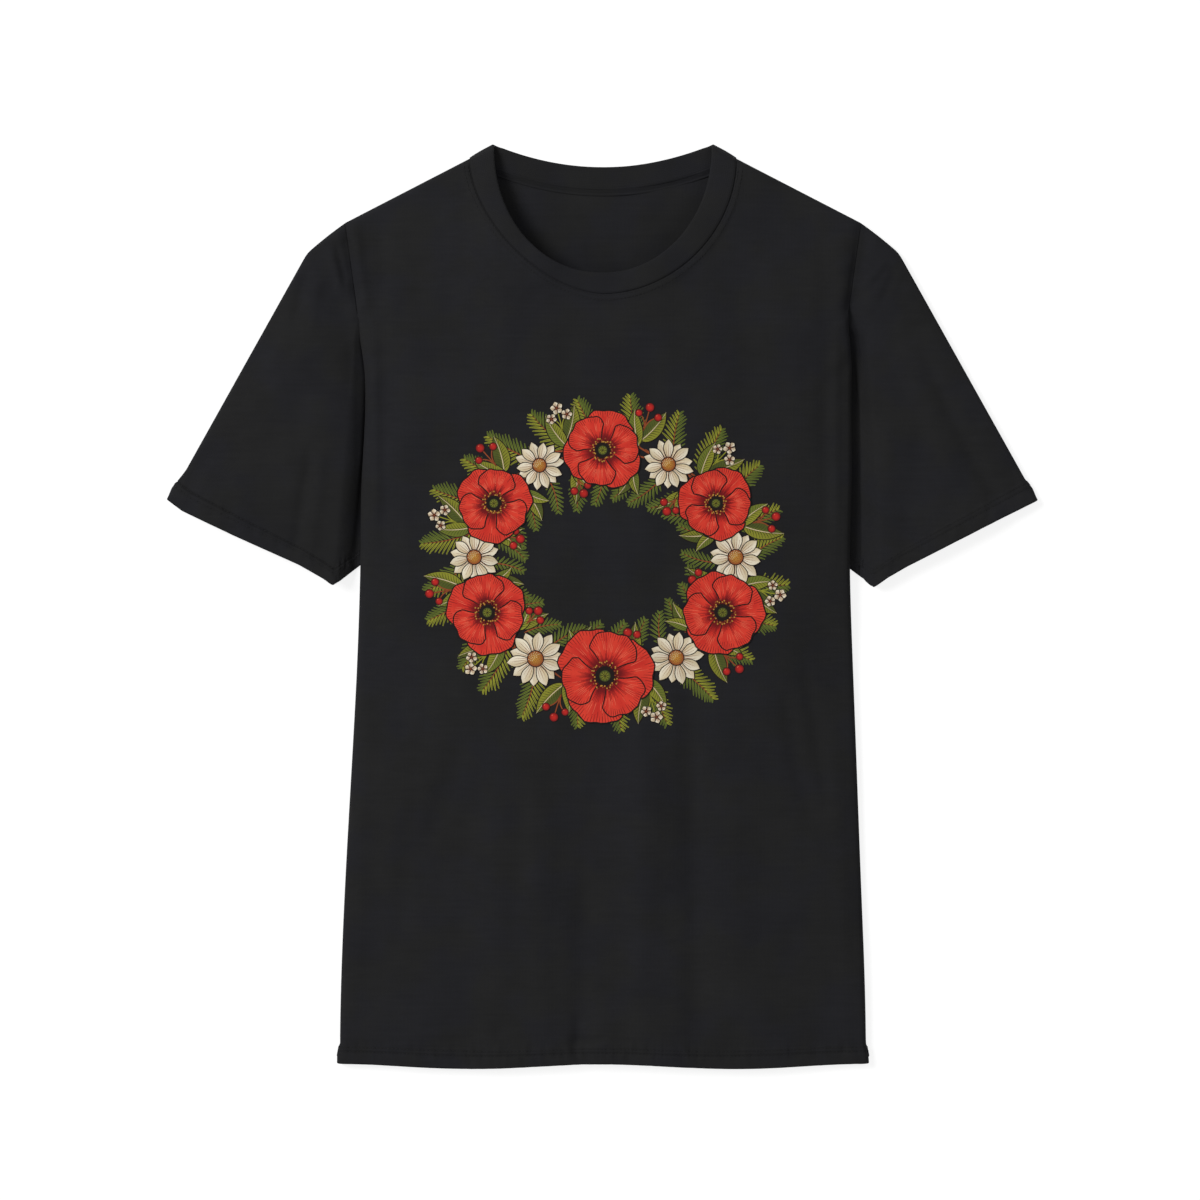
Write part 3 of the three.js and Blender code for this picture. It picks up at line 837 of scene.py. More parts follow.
def sleeve(name, form):
    """A sleeve, and the lines of its hem's stitches with their normals."""
    side = form["side"]
    hem_s = 1 - (HEM_ALLOWANCE + 1) / SLEEVE_LENGTH
    stitch_s = [1 - row / SLEEVE_LENGTH for row in STITCH_ROWS]
    fine = 1 - HEM_ROWS[::-1] / SLEEVE_LENGTH
    shares = np.concatenate([np.linspace(-0.003, fine[0], 74)[:-1], fine])
    rings = np.stack([sleeve_ring(s, form) for s in shares], axis=1)
    rings[..., 0] *= side
    x, y = rings[..., 0], rings[..., 1]
    normals = grid_normals(rings, True, side)
    raised = rings[..., 2] / EDGE_DEPTH
    facing_up = smoothstep(normals[..., 2], 0.25, 0.85) * smoothstep(raised, 0.4, 0.95)
    beside = np.broadcast_to(np.maximum(shares, 0) * SLEEVE_LENGTH, x.shape)
    away = smoothstep(beside, 0, 40)
    waves = lerp(front_waves(x, y), WAVES * loose_sleeve(x, y) + SLEEVE_CRUMPLE * crumple(x, y), away)
    dip = armhole_dip(x, y, width=7.5) + SEAM_TUCKED * (shares < 0)
    points = rings.copy()
    points[..., 2] += (fold_height(x, y) + waves - dip) * facing_up
    points[..., 2] += body_lift(x, y, 1) * smoothstep(raised, 0.3, 0.9) * (1 - away)
    around = np.arange(rings.shape[0])[:, None] * 2.6
    from_edge = (1 - shares[None, :]) * SLEEVE_LENGTH
    hem = hem_relief(from_edge, around + 0 * x, form["tight"], form["lower_row"])
    lying = rings[..., 2] < 0.5
    points += normals * np.where(lying, 0, hem)[..., None]
    points[..., 2] = np.maximum(points[..., 2], 0)
    thickness = np.where(shares >= hem_s, HEM_THICKNESS, JERSEY)
    along_cloth = np.cumsum(np.linalg.norm(np.diff(points, axis=0, prepend=points[-1:]), axis=-1), axis=0)
    uv = np.stack([along_cloth, beside], axis=-1) / 1000
    # Painted shade along the hem's stitch rows, darker where the stitching is tighter.
    painted_groove_shade = (0.1 + 0.7 * form["tight"]) * hem_rows(from_edge, form["lower_row"])
    piece = cloth(name, points, thickness, jersey, uv, outward=side, wrapped=True, painted_groove_shade=painted_groove_shade)
    rows = [np.searchsorted(shares, s - 1e-6) for s in stitch_s]
    return piece, [(points[:, row], normals[:, row]) for row in rows]


sleeve_stitches = {}
for sleeve_name, sleeve_form in SLEEVES.items():
    sleeve_cloth, sleeve_stitches[sleeve_name] = sleeve(f"{sleeve_name}_sleeve_cloth", sleeve_form)
    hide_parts(f"{sleeve_name}_sleeve")

# ---- The neckband and its tape -------------------------------------------------------------------------

RIB_PROUD = 0.15  # how far the band stands off the front beside it
RIB_ARCH = 0.35  # how much the front of the band swells in its middle
RIB_WIDTH = 18
RIB_THICKNESS = 1.8  # the band is folded double
RIB_CLOTH = 0.55
TAPE = {"width": 6.4, "overlap": 1.5, "share": 0.84, "thickness": 0.3}
TAPE_TOP, TAPE_FALL = 2.35, 1.4  # the height of its upper edge, and how far it falls to the lower one
TAPE_EDGE = 0.4  # how much its bound edges stand up


def neck_stations():
    """Points round the neck, from the wearer's right shoulder over the front and back along the back."""
    angles = np.arcsin(np.linspace(-1, 1, 401))
    front_half = evenly(front_neck(NECK_SEAM, angles), 96)
    angle = np.interp(front_half[:, 0], front_neck(NECK_SEAM, angles)[:, 0], angles)
    across = np.linspace(1, -1, 73)[1:-1]
    return [(1, a) for a in angle] + [(-1, a) for a in across]


def neckband():
    """A strip of rib, folded double over its free edge and sewn to the neckline."""
    radius = RIB_THICKNESS / 2
    rings = []
    for face, station in neck_stations():
        curve = front_neck if face > 0 else back_neck
        seam, edge = (curve(line, np.array(station)) for line in (NECK_SEAM, RIB_EDGE))
        inward = unit(edge - seam)
        last = edge - inward * radius
        places = [(lerp(seam, last, w), 0) for w in np.linspace(0, 1, 9)]
        turn = np.radians(np.arange(60, -61, -30))
        places += [(last + inward * radius * math.cos(a), radius * (1 - math.sin(a))) for a in turn]
        places += [(lerp(last, seam, w), RIB_THICKNESS) for w in np.linspace(0, 1, 7)]
        ring = []
        proud = RIB_PROUD if face > 0 else 0
        for (x, y), depth in places:
            share = np.clip(np.hypot(x - seam[0], y - seam[1]) / RIB_WIDTH, 0, 1)
            out = proud + RIB_ARCH * math.sin(math.pi * share) if depth < 1 else 0
            ring.append(body_points(x, y, face, depth - out))
        rings.append(ring)
    rings = np.array(rings)
    rings[..., 2] = np.maximum(rings[..., 2], RIB_CLOTH)
    return rings


band = neckband()
band_along = along(band[:, 4])
band_across = np.cumsum(np.linalg.norm(np.diff(band[20], axis=0, prepend=band[20][:1]), axis=1))
band_uv = np.stack(np.meshgrid(band_across, band_along), axis=-1)[..., ::-1] / 1000
neck_rib = cloth("neckband_rib", band, RIB_CLOTH, rib_knit, band_uv, outward=-1, wrapped=True)
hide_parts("neck_rib")


def tape():
    """The tape that covers the seam inside the back neck. Its edges are bound."""
    across = np.linspace(-TAPE["share"], TAPE["share"], 90)
    rows = []
    for w in np.linspace(0, 1, 13):
        line = back_neck(NECK_SEAM, across) + [0, TAPE["overlap"] - w * TAPE["width"]]
        bound = TAPE_EDGE * (hump(w - 0.1, 0.08) + hump(w - 0.88, 0.08))
        z = np.full(len(across), TAPE_TOP - TAPE_FALL * smoothstep(w, 0.1, 0.9) + bound)
        rows.append(np.column_stack([line, z]))
    return np.stack(rows, axis=1)


tape_points = tape()
tape_uv = (tape_points[..., :2] - tape_points[:1, :1, :2]) / 1000
neck_tape = cloth("neck_tape_cloth", tape_points, TAPE["thickness"], tape_twill, tape_uv)
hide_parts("neck_tape")

# ---- Stitches ------------------------------------------------------------------------------------------

STITCH = {"Spacing": 3.0, "Length": 2.35, "Thickness": 0.55}  # the inputs of the geometry nodes


def stitch_graph():
    """Geometry nodes that lay small rounded stitches along every line of the input, lying on its "up"."""
    tree = bpy.data.node_groups.new("stitches", "GeometryNodeTree")
    tree.interface.new_socket("Geometry", in_out="INPUT", socket_type="NodeSocketGeometry")
    for label in STITCH:
        tree.interface.new_socket(label, in_out="INPUT", socket_type="NodeSocketFloat")
    tree.interface.new_socket("Material", in_out="INPUT", socket_type="NodeSocketMaterial")
    tree.interface.new_socket("Geometry", in_out="OUTPUT", socket_type="NodeSocketGeometry")
    graph = Graph(tree)
    given = graph.node("NodeGroupInput")
    curve = graph.node("GeometryNodeMeshToCurve", inputs={"Mesh": given})
    spaced = {"Curve": curve, "Length": given.other("Spacing")}
    line = graph.node("GeometryNodeResampleCurve", {"mode": "LENGTH"}, spaced)
    up = graph.node("GeometryNodeInputNamedAttribute", {"data_type": "FLOAT_VECTOR"}, {"Name": "up"})
    standing = graph.node("FunctionNodeAlignRotationToVector", {"axis": "Z"}, {"Vector": up})
    tangent = graph.node("GeometryNodeInputTangent")
    turned = {"Rotation": standing, "Vector": tangent}
    rotation = graph.node("FunctionNodeAlignRotationToVector", {"axis": "X", "pivot_axis": "Z"}, turned)
    thick = given.other("Thickness")
    size = graph.node("ShaderNodeCombineXYZ", inputs={0: given.other("Length"), 1: thick, 2: thick})
    bead = graph.node("GeometryNodeMeshUVSphere", inputs={"Segments": 7, "Rings": 6, "Radius": 0.5})
    limits = {2: 0.86, 3: 1.1, "Seed": 4}
    vary = graph.node("FunctionNodeRandomValue", {"data_type": "FLOAT"}, limits, output=1)
    scale = graph.node("ShaderNodeVectorMath", {"operation": "SCALE"}, {0: size, "Scale": vary})
    laid = {"Points": line, "Instance": bead, "Rotation": rotation, "Scale": scale}
    beads = graph.node("GeometryNodeInstanceOnPoints", inputs=laid)
    solid = graph.node("GeometryNodeRealizeInstances", inputs={"Geometry": beads})
    dyed = {"Geometry": solid, "Material": given.other("Material")}
    graph.node("NodeGroupOutput", inputs={0: graph.node("GeometryNodeSetMaterial", inputs=dyed)})
    return tree


STITCH_GRAPH = stitch_graph()


def stitches(name, lines, replaced=()):
    """Rows of stitches along lines, each of which is its points and their outward normals."""
    points, ups, edges = [], [], []
    for line, normal in lines:
        edges += [(len(points) + i, len(points) + i + 1) for i in range(len(line) - 1)]
        line = line + normal * STITCH["Thickness"] * 0.12
        steep = np.sqrt(1 - np.clip(normal[:, 2] ** 2, 0, 1))
        clear = 0.62 * STITCH["Thickness"] + 0.5 * steep  # keeps them above the table
        line[:, 2] = np.maximum(line[:, 2], clear)
        points += list(line)
        ups += list(normal)
    mesh = bpy.data.meshes.new(name + "_lines")
    mesh.from_pydata(to_frame(points).tolist(), edges, [])
    mesh.attributes.new("up", "FLOAT_VECTOR", "POINT").data.foreach_set("vector", np.ravel(ups))
    lines_object = add_object(name + "_lines", mesh)
    modifier = lines_object.modifiers.new("stitches", "NODES")
    modifier.node_group = STITCH_GRAPH
    values = {label: size / 1000 for label, size in STITCH.items()} | {"Material": thread_black}
    for item in STITCH_GRAPH.interface.items_tree:
        if item.in_out == "INPUT" and item.name in values:
            modifier[item.identifier] = values[item.name]
    view = bpy.context.evaluated_depsgraph_get()
    made = bpy.data.meshes.new_from_object(lines_object.evaluated_get(view))
    bpy.data.objects.remove(lines_object)
    piece = add_piece(name, made)
    if replaced:
        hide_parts(*replaced)


def between_sides(lines):
    """The parts of a hem's lines that stop short of the folds at its sides."""
    for points, normals in lines:
        keep = np.abs(points[:, 0]) < HEM_HALF_WIDTH - 5
        yield points[keep], normals[keep]


bottom_threads = ["bottom_hem_thread_lower", "bottom_hem_thread_upper"]
stitches("bottom_hem_stitches", between_sides(front_hem_lines), bottom_threads)
stitches("back_hem_stitches", between_sides(back_hem_lines))

for sleeve_name, sleeve_lines in sleeve_stitches.items():
    closed = [(np.vstack([p, p[:1]]), np.vstack([n, n[:1]])) for p, n in sleeve_lines]
    sleeve_threads = [f"{sleeve_name}_sleeve_thread_{place}" for place in ("inner", "outer")]
    stitches(f"{sleeve_name}_sleeve_stitches", closed, sleeve_threads)


def neck_line(distance):
    """A line on the front beside the neck seam, with its normals."""
    wider = NECK_SEAM | {key: NECK_SEAM[key] + distance for key in ("half_width", "front_drop")}
    flat = evenly(front_neck(wider, np.radians(np.linspace(-84, 84, 201))), 180)
    x, y = flat.T
    points = body_points(x, y, 1)
    step = 0.5
    slope_x = body_points(x + step, y, 1) - body_points(x - step, y, 1)
    slope_y = body_points(x, y + step, 1) - body_points(x, y - step, 1)
    normals = unit(np.cross(slope_x, slope_y))
    return points + normals * seam_relief(1, x, y)[:, None], normals


stitches("neck_stitches", [neck_line(2.0), neck_line(5.2)], ["neck_thread_inner", "neck_thread_outer"])

# ---- The print -----------------------------------------------------------------------------------------

# A wreath of poppies, daisies, leaves and ferns. Its middle line is an ellipse, and angles run round it in
# degrees from the wearer's left.
WREATH = {"x": 1.5, "y": 389, "half_width": 101, "half_height": 87}
INK_FIRST, INK_LAYER = 0.12, 0.02  # how far the lowest ink stands off the cloth, and each layer above it
INK_STEP = 2.2  # the spacing of the ink's points
INK_VARIES = 0.09  # how much lighter or darker than its name one shape's ink may be
INKS = {
    "line": (30, 20, 18),
    "wine": (118, 18, 22),
    "red": (206, 42, 34),
    "bright_red": (232, 66, 48),
    "coral": (240, 112, 84),
    "cream": (252, 243, 220),
    "beige": (216, 196, 156),
    "honey": (196, 142, 58),
    "rust": (150, 75, 40),
    "olive": (150, 150, 48),
    "moss": (104, 116, 44),
    "dark_green": (60, 72, 32),
}
INKS = {name: np.array(colour(*rgb)[:3]) for name, rgb in INKS.items()}


def heading(degrees):
    return np.array([math.cos(math.radians(degrees)), math.sin(math.radians(degrees))])


def on_wreath(degrees, out=0.0):
    """The point of the wreath's middle line at an angle, moved outwards by out."""
    place = heading(degrees) * [WREATH["half_width"], WREATH["half_height"]]
    return np.array([WREATH["x"], WREATH["y"]]) + place + out * unit(place)


class Print:
    """Shapes of ink. Each is a grid of points with a colour at each point, and lies on a numbered layer."""

    def __init__(self, seed):
        self.chance = np.random.default_rng(seed)
        self.shapes = []

    def fill(self, layer, grid, tones):
        self.shapes.append((layer, grid, np.broadcast_to(tones, (*grid.shape[:2], 3))))

    def line(self, layer, path, width, ink, taper=(0.25, 0.35)):
        """A pen stroke that thins towards its start and its end over those shares of its length."""
        path = evenly(path, max(2, math.ceil(along(path)[-1] / INK_STEP)))
        t = np.linspace(0, 1, len(path))
        rise = np.clip(t / max(taper[0], 1e-3), 0.12, 1) * np.clip((1 - t) / max(taper[1], 1e-3), 0.12, 1)
        run = unit(np.gradient(path, axis=0))
        reach = np.stack([-run[:, 1], run[:, 0]], axis=1) * (width / 2 * np.sqrt(rise))[:, None]
        self.fill(layer, np.stack([path - reach, path + reach], axis=1), self.varied(ink))

    def varied(self, ink):
        return INKS[ink] * (1 + INK_VARIES * self.chance.uniform(-1, 1))

    def disc(self, layer, centre, radius, ink, rim=None):
        rings = np.linspace(0, radius, max(2, math.ceil(radius / INK_STEP) + 1))[:, None, None]
        turn = np.linspace(0, 2 * math.pi, 9 + 4 * round(radius / 2))
        grid = centre + rings * np.stack([np.cos(turn), np.sin(turn)], axis=-1)
        share = rings / radius
        self.fill(layer, grid[:, ::-1], lerp(self.varied(ink), INKS[rim or ink], share**2))


def blade(ink, layer, spine, width, tones, shape=0.8, edge=None, columns=6):
    """A pointed leaf or petal about a spine. Gives the points of its grid, which run along and across it."""
    spine = evenly(spine, max(4, math.ceil(along(spine)[-1] / INK_STEP)))
    t = np.linspace(0, 1, len(spine))
    half = width / 2 * np.sin(math.pi * t**shape) ** 0.8
    run = unit(np.gradient(spine, axis=0))
    out = np.stack([-run[:, 1], run[:, 0]], axis=1) * half[:, None]
    across = np.linspace(-1, 1, columns + 1)
    grid = spine[:, None] - across[None, :, None] * out[:, None]
    dark, light = (ink.varied(tone) for tone in tones)
    shade = 0.5 + 0.42 * np.sign(across)[None, :, None] * (1 - 0.4 * t)[:, None, None]
    ink.fill(layer, grid, lerp(dark, light, np.clip(shade, 0, 1)))
    if edge:
        for side in (0, -1):
            ink.line(layer + 2, grid[:, side], 0.65, edge, taper=(0.05, 0.05))
    return grid


def leaf(ink, layer, base, direction, length, width, bow, tones):
    """A leaf with a pale midrib and dark side veins."""
    tip = base + length * heading(direction)
    spine = bend(base, (base + tip) / 2 + bow * heading(direction + 90), tip, 14)
    grid = blade(ink, layer, spine, width, tones, edge="line")
    last, middle = len(grid) - 1, grid.shape[1] // 2
    for k in range(1, last - 1):
        for side in (0, -1):
            ahead = min(k + 2, last)
            end = lerp(grid[ahead, middle], grid[ahead, side], 0.86)
            vein = bend(grid[k, middle], grid[k + 1, middle], end, 3)
            ink.line(layer + 1, vein, 0.42, "line" if side else "dark_green", taper=(0.1, 0.6))
    ink.line(layer + 3, grid[:, middle], 0.7, "beige", taper=(0.02, 0.6))


def fern(ink, layer, base, direction, length, bow, tone):
    """A frond: a stem with pairs of narrow leaflets that grow shorter towards the tip."""
    tip = base + length * heading(direction)
    stem = evenly(bend(base, (base + tip) / 2 + bow * heading(direction + 90), tip), round(length / 3.1))
    run = unit(np.gradient(stem, axis=0))
    for k in range(1, len(stem)):
        share = k / len(stem)
        reach = 0.33 * length * math.sin(math.pi * (0.2 + 0.76 * share)) ** 0.8
        for side in (-1, 1):
            lean = math.degrees(math.atan2(run[k, 1], run[k, 0])) + side * (56 - 22 * share)
            end = stem[k] + reach * ink.chance.uniform(0.84, 1.12) * heading(lean)
            curl = bend(stem[k], lerp(stem[k], end, 0.6) + 0.9 * run[k], end, 4)
            ink.line(layer, curl, 2.1, tone if side > 0 else "moss", taper=(0.5, 0.7))
            ink.line(layer + 1, curl[1:], 0.4, "dark_green", taper=(0.3, 0.6))
    ink.line(layer + 2, stem, 0.9, "rust", taper=(0.02, 0.8))


def ray_flower(ink, layer, centre, radius, turn, petals, width, heart):
    """Cream petals with a few fine strokes. Every other petal lies over its neighbours. heart is a radius."""
    for k in range(petals):
        angle = turn + 360 * k / petals + ink.chance.uniform(-4, 4)
        reach = radius * ink.chance.uniform(0.93, 1.04)
        spine = np.array([centre + 0.5 * heart * heading(angle), centre + reach * heading(angle + 3)])
        under = layer + 3 * (k % 2)
        grid = blade(ink, under, spine, width, ("beige", "cream"), shape=1.35, edge="line", columns=4)
        for column, share in ((1, 0.66), (2, 0.8), (3, 0.62)):
            last = round((len(grid) - 1) * share)
            ink.line(under + 1, grid[: last + 1, column], 0.36, "rust", taper=(0.02, 0.7))


def daisy(ink, layer, centre, radius, turn):
    heart = 0.27 * radius
    ray_flower(ink, layer, centre, radius, turn, 14, 0.4 * radius, heart)
    ink.disc(layer + 6, centre, heart + 0.7, "line")
    ink.disc(layer + 7, centre, heart, "honey", rim="rust")
    for k in range(44):
        out, angle = heart * 0.92 * math.sqrt((k + 0.5) / 44), k * 137.5
        tone = "beige" if math.cos(math.radians(angle - 130)) > 0.1 else "rust"
        ink.disc(layer + 8, centre + out * heading(angle), 0.36, tone)


def spray(ink, layer, base, direction, length):
    """Small five-petalled flowers on forked stalks."""
    for turn, reach, size in ((-24, 0.74, 4.6), (3, 1.0, 5.2), (30, 0.7, 4.3)):
        end = base + length * reach * heading(direction + turn)
        stalk = bend(base, base + 0.45 * length * heading(direction), end, 6)
        ink.line(layer, stalk, 0.8, "olive", taper=(0.02, 0.1))
        ray_flower(ink, layer + 1, end, size, direction + turn, 5, 0.95 * size, 1.2)
        ink.disc(layer + 7, end, 1.25, "rust", rim="line")


def poppy(ink, layer, centre, radius, turn):
    """A poppy seen from the front: three petals over three, drawn with fine strokes that follow them."""
    for k in range(6):
        over = k % 2
        size = radius * (0.9 if over else 1.0) * ink.chance.uniform(0.97, 1.03)
        under = layer + 4 * over
        across, out = np.linspace(-1, 1, 17), np.linspace(0.05, 1, max(8, round(size / INK_STEP)))[:, None]
        phase = ink.chance.uniform(0, 6, 3)
        ruffle = 0.022 * np.sin(8.5 * across + phase[0]) + 0.016 * np.sin(15 * across + phase[1])
        edge = size * (1 - 0.12 * across**2 - 0.16 * across**6 + ruffle)
        spread = 53 - 6 * over
        angle = np.radians(turn + 60 * k + spread * across * (0.5 + 0.5 * out**0.6))
        grid = centre + (out * edge)[..., None] * np.stack([np.cos(angle), np.sin(angle)], axis=-1)
        fold = 0.5 + 0.5 * np.cos(across * 9.5 + phase[2])
        light = smoothstep(out, 0.12, 0.62) - 0.34 * fold * smoothstep(out, 0.3, 0.7)
        light = np.clip(light + 0.2 * smoothstep(out, 0.8, 1) - 0.3 * (1 - over) * (1 - out), 0, 1)[..., None]
        shaded = lerp(INKS["wine"], INKS["red"], 2 * light)
        lit = lerp(INKS["red"], INKS["bright_red"], 2 * light - 1)
        ink.fill(under, grid, np.where(light < 0.5, shaded, lit))
        last = len(grid) - 1
        for column in np.linspace(0.6, 15.4, 27):
            low, part = int(column), column % 1
            ray = lerp(grid[:, low], grid[:, low + 1], part)
            for start, end, width, tone in (
                (0.12, ink.chance.uniform(0.36, 0.66), 0.62, "wine"),
                (1.0, ink.chance.uniform(0.74, 0.9), 0.5, "wine"),
                (ink.chance.uniform(0.5, 0.6), ink.chance.uniform(0.72, 0.9), 0.42, "coral"),
            ):
                if ink.chance.random() < (0.5 if tone == "coral" else 0.94):
                    places = np.linspace(start, end, 5) * last
                    path = np.stack([np.interp(places, np.arange(len(ray)), axis) for axis in ray.T], axis=1)
                    ink.line(under + 1, path, width, tone, taper=(0.02, 0.8))
        brim = np.concatenate([grid[last // 3 :, 0], grid[-1, 1:-1], grid[: last // 3 - 1 : -1, -1]])
        ink.line(under + 2, brim, 0.95, "line", taper=(0.08, 0.08))
    ink.disc(layer + 8, centre, 0.2 * radius, "line")
    for k in range(46):
        angle, out = k * 360 / 46 + ink.chance.uniform(-3, 3), radius * ink.chance.uniform(0.2, 0.31)
        stalk = np.array([centre + 0.13 * radius * heading(angle), centre + out * heading(angle + 4)])
        ink.line(layer + 9, stalk, 0.5, "line", taper=(0.02, 0.1))
        ink.disc(layer + 10, stalk[1], 0.62, "honey" if k % 3 else "rust")
    ink.disc(layer + 10, centre, 0.115 * radius, "olive", rim="dark_green")
    for k in range(9):
        spoke = np.array([centre, centre + 0.108 * radius * heading(40 * k + turn)])
        ink.line(layer + 11, spoke, 0.5, "line", taper=(0.02, 0.1))


def berries(ink, layer, base, direction, length):
    """Three berries on forked rust-coloured stalks."""
    for turn, reach, size in ((-30, 0.82, 2.9), (2, 1.0, 3.3), (31, 0.76, 2.7)):
        end = base + length * reach * heading(direction + turn)
        stalk = bend(base, base + 0.5 * length * heading(direction), end, 6)
        ink.line(layer, stalk, 0.9, "rust", taper=(0.02, 0.1))
        ink.disc(layer + 1, end, size + 0.35, "line")
        ink.disc(layer + 2, end, size, "red", rim="wine")
        glint = [end + 0.6 * size * heading(a) for a in (150, 128, 106)]
        ink.line(layer + 3, np.array(glint), 0.7, "coral", taper=(0.5, 0.5))


# The leaves between two flowers: the layer of each, how far out it starts, its direction, the limits of its
# length, its width, how far it bows and its dark side's ink.
LEAVES = (
    (5, 10, -28, (29, 33), 13, -3, "dark_green"),
    (9, 6, 20, (26, 30), 11.5, 3, "moss"),
    (5, -12, 166, (23, 28), 10.5, 3, "dark_green"),
    (9, -10, 204, (20, 24), 9, -3, "moss"),
)

# The flowers of the wreath: the angle of each on its middle line, its radius, and how it is turned.
POPPIES = ((-90, 38, 12), (-154, 32, 40), (-26, 33, 5), (148, 30, 22), (32, 29, 50), (91, 31, 75))
DAISIES = ((-122, 22, 5), (-57, 21, 0), (177, 20, 12), (3, 21, 9), (120, 19, 3), (61, 19.5, 8))


def wreath():
    ink = Print(seed=17)
    for degrees in range(0, 360, 15):
        sway = ink.chance.uniform(-12, 12)
        for out, turn, sizes, tone in ((4, 24, (35, 41), "olive"), (-12, 158, (25, 31), "moss")):
            fern(ink, 0, on_wreath(degrees, out), degrees + turn + sway, ink.chance.uniform(*sizes), 3, tone)
    for degrees in range(6, 366, 5):
        wander = 3 * math.sin(0.9 * degrees)
        path = np.array([on_wreath(degrees + step, wander + 2 * step % 5) for step in (-7, 0, 7)])
        ink.line(4, path, 1.3, "rust", taper=(0.3, 0.3))
    flowers = sorted(place[0] % 360 for place in POPPIES + DAISIES)
    for k, (first, second) in enumerate(zip(flowers, flowers[1:] + [flowers[0] + 360])):
        between = (first + second) / 2
        for layer, out, turn, sizes, width, bow, dark in LEAVES:
            size = ink.chance.uniform(*sizes)
            leaf(ink, layer, on_wreath(between, out), between + turn, size, width, bow, (dark, "olive"))
        growth = (berries, spray)[k % 2]
        growth(ink, 13, on_wreath(between, 18), between - 4, 19)
        if k % 2:
            berries(ink, 13, on_wreath(between, -18), between + 184, 14)
    for degrees, radius, turn in DAISIES:
        daisy(ink, 21, on_wreath(degrees), radius, turn)
    for degrees, radius, turn in POPPIES:
        poppy(ink, 30, on_wreath(degrees), radius, turn)
    return sorted(ink.shapes, key=lambda shape: shape[0])


def printing_ink():
    """Screen-printing ink, matt and thin enough that the knitting shows through its surface."""
    shader = Shader("printing_ink")
    place = shader.place()
    grain = shader.noise(place, 1300, detail=3)
    worn = shader.noise(place, 90, detail=3)
    split = shader.node("ShaderNodeSeparateXYZ", inputs={0: place})
    loops = knit_relief(split, split.other(1), *JERSEY_KNIT)
    dull = (0.34 * (grain - 0.5) + 0.3 * (worn - 0.5) + 0.3 * (0.6 - loops) + 0.22).ramp(-0.1, 0.75)
    return shader.surface_of(
        Base_Color=shader.mix(dull * 0.34, shader.attribute("ink"), colour(34, 30, 28)),
        Roughness=0.7 + 0.2 * grain,
        Specular_IOR_Level=0.18,
        Normal=shader.bump(loops + 0.4 * grain, 0.00008),
    )


def print_piece(name, shapes):
    """One mesh of all the ink, the lowest layer first, with its colours and a map of it seen from above."""
    faces, flat, lift, tones, start = [], [], [], [], 0
    for layer, grid, shades in shapes:
        rows, columns = grid.shape[:2]
        i, k = np.meshgrid(np.arange(rows - 1), np.arange(columns - 1), indexing="ij")
        corner = start + i * columns + k
        quads = np.stack([corner, corner + columns, corner + columns + 1, corner + 1], axis=-1)
        faces.append(quads.reshape(-1, 4))
        flat.append(grid.reshape(-1, 2))
        lift.append(np.full(rows * columns, INK_FIRST + INK_LAYER * layer))
        tones.append(shades.reshape(-1, 3))
        start += rows * columns
    faces, flat, lift, tones = (np.concatenate(parts) for parts in (faces, flat, lift, tones))
    points = body_points(flat[:, 0], flat[:, 1], 1)
    points[:, 2] += lift
    a, b, c, d = (points[faces[:, k], :2] for k in range(4))
    up = np.cross(b - a, c - b) + np.cross(c - b, d - c)
    faces[up < 0] = faces[up < 0, ::-1]
    # where a shape ends in a point, its points there become one
    _, first, same = np.unique(np.round(points, 3), axis=0, return_index=True, return_inverse=True)
    points, tones = points[first], tones[first]
    corners = [list(dict.fromkeys(face)) for face in same.ravel()[faces].tolist()]
    corners = [face for face in corners if len(face) > 2]
    low, high = points.min(axis=0)[:2], points.max(axis=0)[:2]
    seen = (points[:, :2] - low) / (high - low).max()
    piece = make_piece(name, points, corners, printing_ink(), seen, "OFBake")
    attribute = piece.data.color_attributes.new("ink", "FLOAT_COLOR", "POINT")
    attribute.data.foreach_set("color", np.column_stack([tones, np.ones(len(tones))]).ravel())
    return piece


chest_print = print_piece("chest_print", wreath())

# ---- Light, floor and camera ---------------------------------------------------------------------------

VIEW_WIDTH = 0.9284  # what the picture spans, at the height of the cloth
CAMERA = (-0.0023, 0.0057, 3.2)  # its place, above the middle of the shirt
CLOTH_HEIGHT = 0.012
LAMP_SIZE = 2.7
LAMPS = {"softbox": ((-4.4, 2.2, 5.13), 350), "fill": ((4.2, -0.6, 5.3), 36)}  # the place and power of each
ROOM_LIGHT = 0.34  # the light that the room gives, where what the eye sees of it is 1
FLOOR_GREY, FLOOR_GLOW = (0.3, 0.3, 0.3, 1), 0.81
FLOOR_REACH, FLOOR_DROP = 4, 0.0002  # its half width, and how far it lies below the shirt


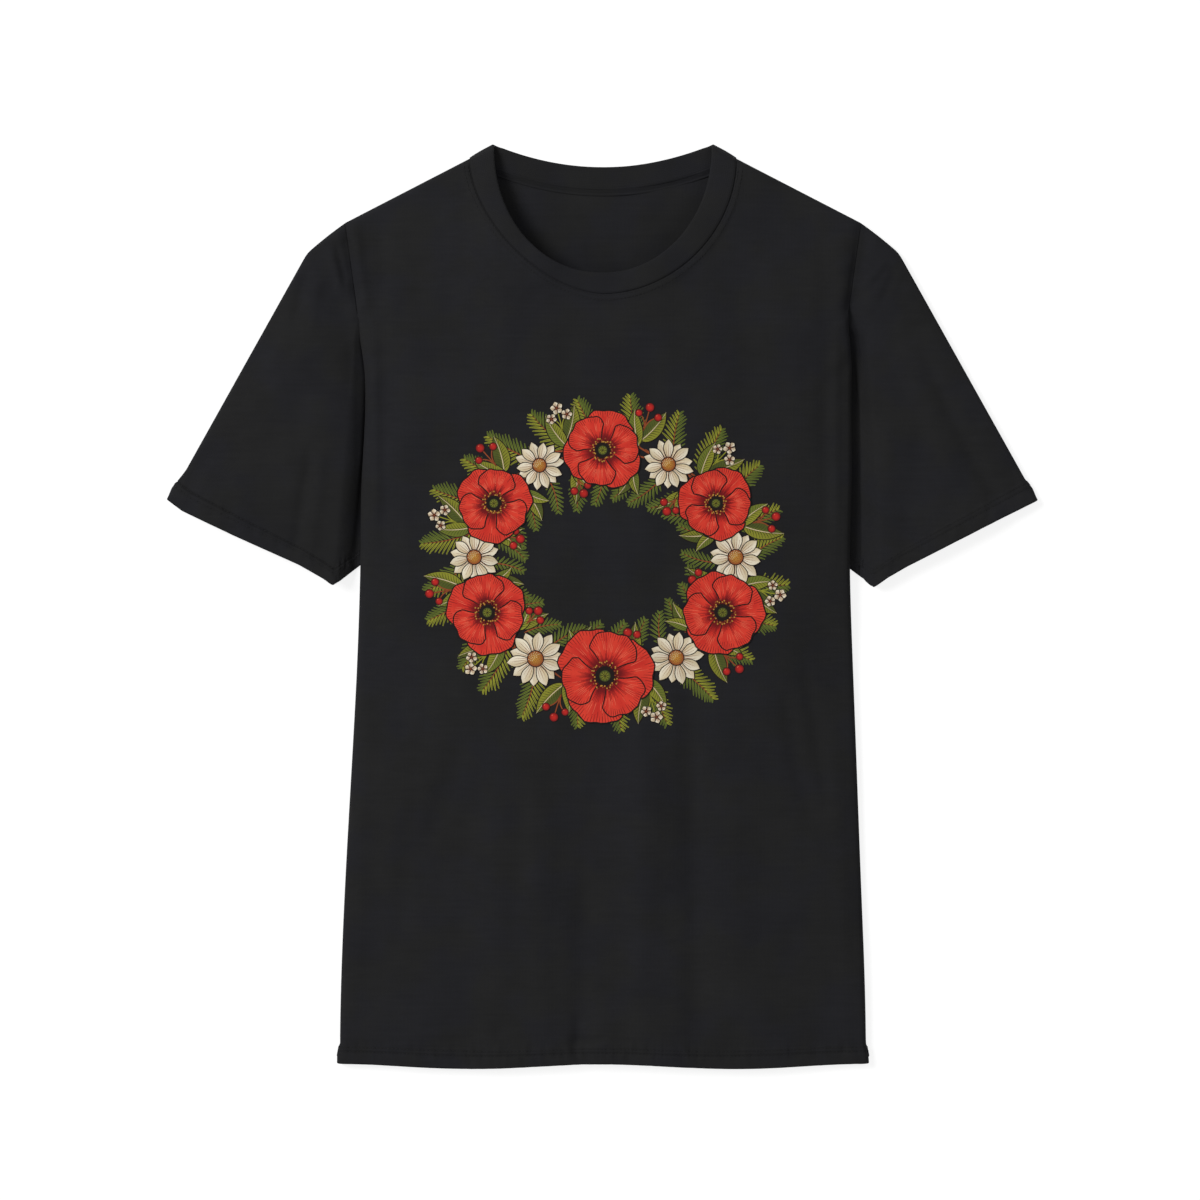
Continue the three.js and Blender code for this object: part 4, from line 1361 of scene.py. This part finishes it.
def camera():
    data = bpy.data.cameras.new("camera")
    data.sensor_width = 36
    data.lens = data.sensor_width * (CAMERA[2] - CLOTH_HEIGHT) / VIEW_WIDTH
    data.clip_end = 20
    eye = add_object("camera", data)
    eye.location = CAMERA
    bpy.context.scene.camera = eye


def light(name, position, power):
    """A soft square lamp that faces the middle of the shirt."""
    data = bpy.data.lights.new(name, "AREA")
    data.shape, data.size, data.energy = "SQUARE", LAMP_SIZE, power
    lamp = add_object(name, data)
    lamp.location = position
    x, y, z = position
    lamp.rotation_euler = (math.atan2(math.hypot(x, y), z), 0, math.atan2(x, -y))


def seen_directly(shader):
    """1 for what the camera sees itself, in a mirror or through glass, and 0 for what lights the shirt."""
    path = shader.node("ShaderNodeLightPath")
    camera, glossy, through = (path.other(f"Is {ray} Ray") for ray in ("Camera", "Glossy", "Transmission"))
    return path.math("MAXIMUM", through, camera + glossy)


def white_floor():
    """A matt floor that is white where nothing shades it."""
    shader = Shader("white_floor")
    plain = shader.node("ShaderNodeBsdfDiffuse", inputs={"Color": FLOOR_GREY})
    glow = shader.node("ShaderNodeEmission", inputs={"Strength": seen_directly(shader) * FLOOR_GLOW})
    both = shader.node("ShaderNodeAddShader", inputs={0: plain, 1: glow})
    mesh = bpy.data.meshes.new("floor")
    signs = ((-1, -1), (1, -1), (1, 1), (-1, 1))
    corners = [(x * FLOOR_REACH, y * FLOOR_REACH, -FLOOR_DROP) for x, y in signs]
    mesh.from_pydata(corners, [], [(0, 1, 2, 3)])
    mesh.materials.append(shader.finish(both))
    add_object("table", mesh)


def sky():
    """An even white room: brighter to the eye than the light it gives."""
    world = bpy.data.worlds.new("room")
    world.use_nodes = True
    graph = Graph(world.node_tree)
    seen = graph.node("ShaderNodeLightPath").other("Is Camera Ray")
    strength = ROOM_LIGHT + (1 - ROOM_LIGHT) * seen
    white = graph.node("ShaderNodeBackground", inputs={"Color": (1, 1, 1, 1), "Strength": strength})
    graph.node("ShaderNodeOutputWorld", inputs={0: white})
    bpy.context.scene.world = world


camera()
for lamp_name, (lamp_place, lamp_power) in LAMPS.items():
    light(lamp_name, lamp_place, lamp_power)
white_floor()
sky()
bpy.context.scene.view_settings.view_transform = "Standard"
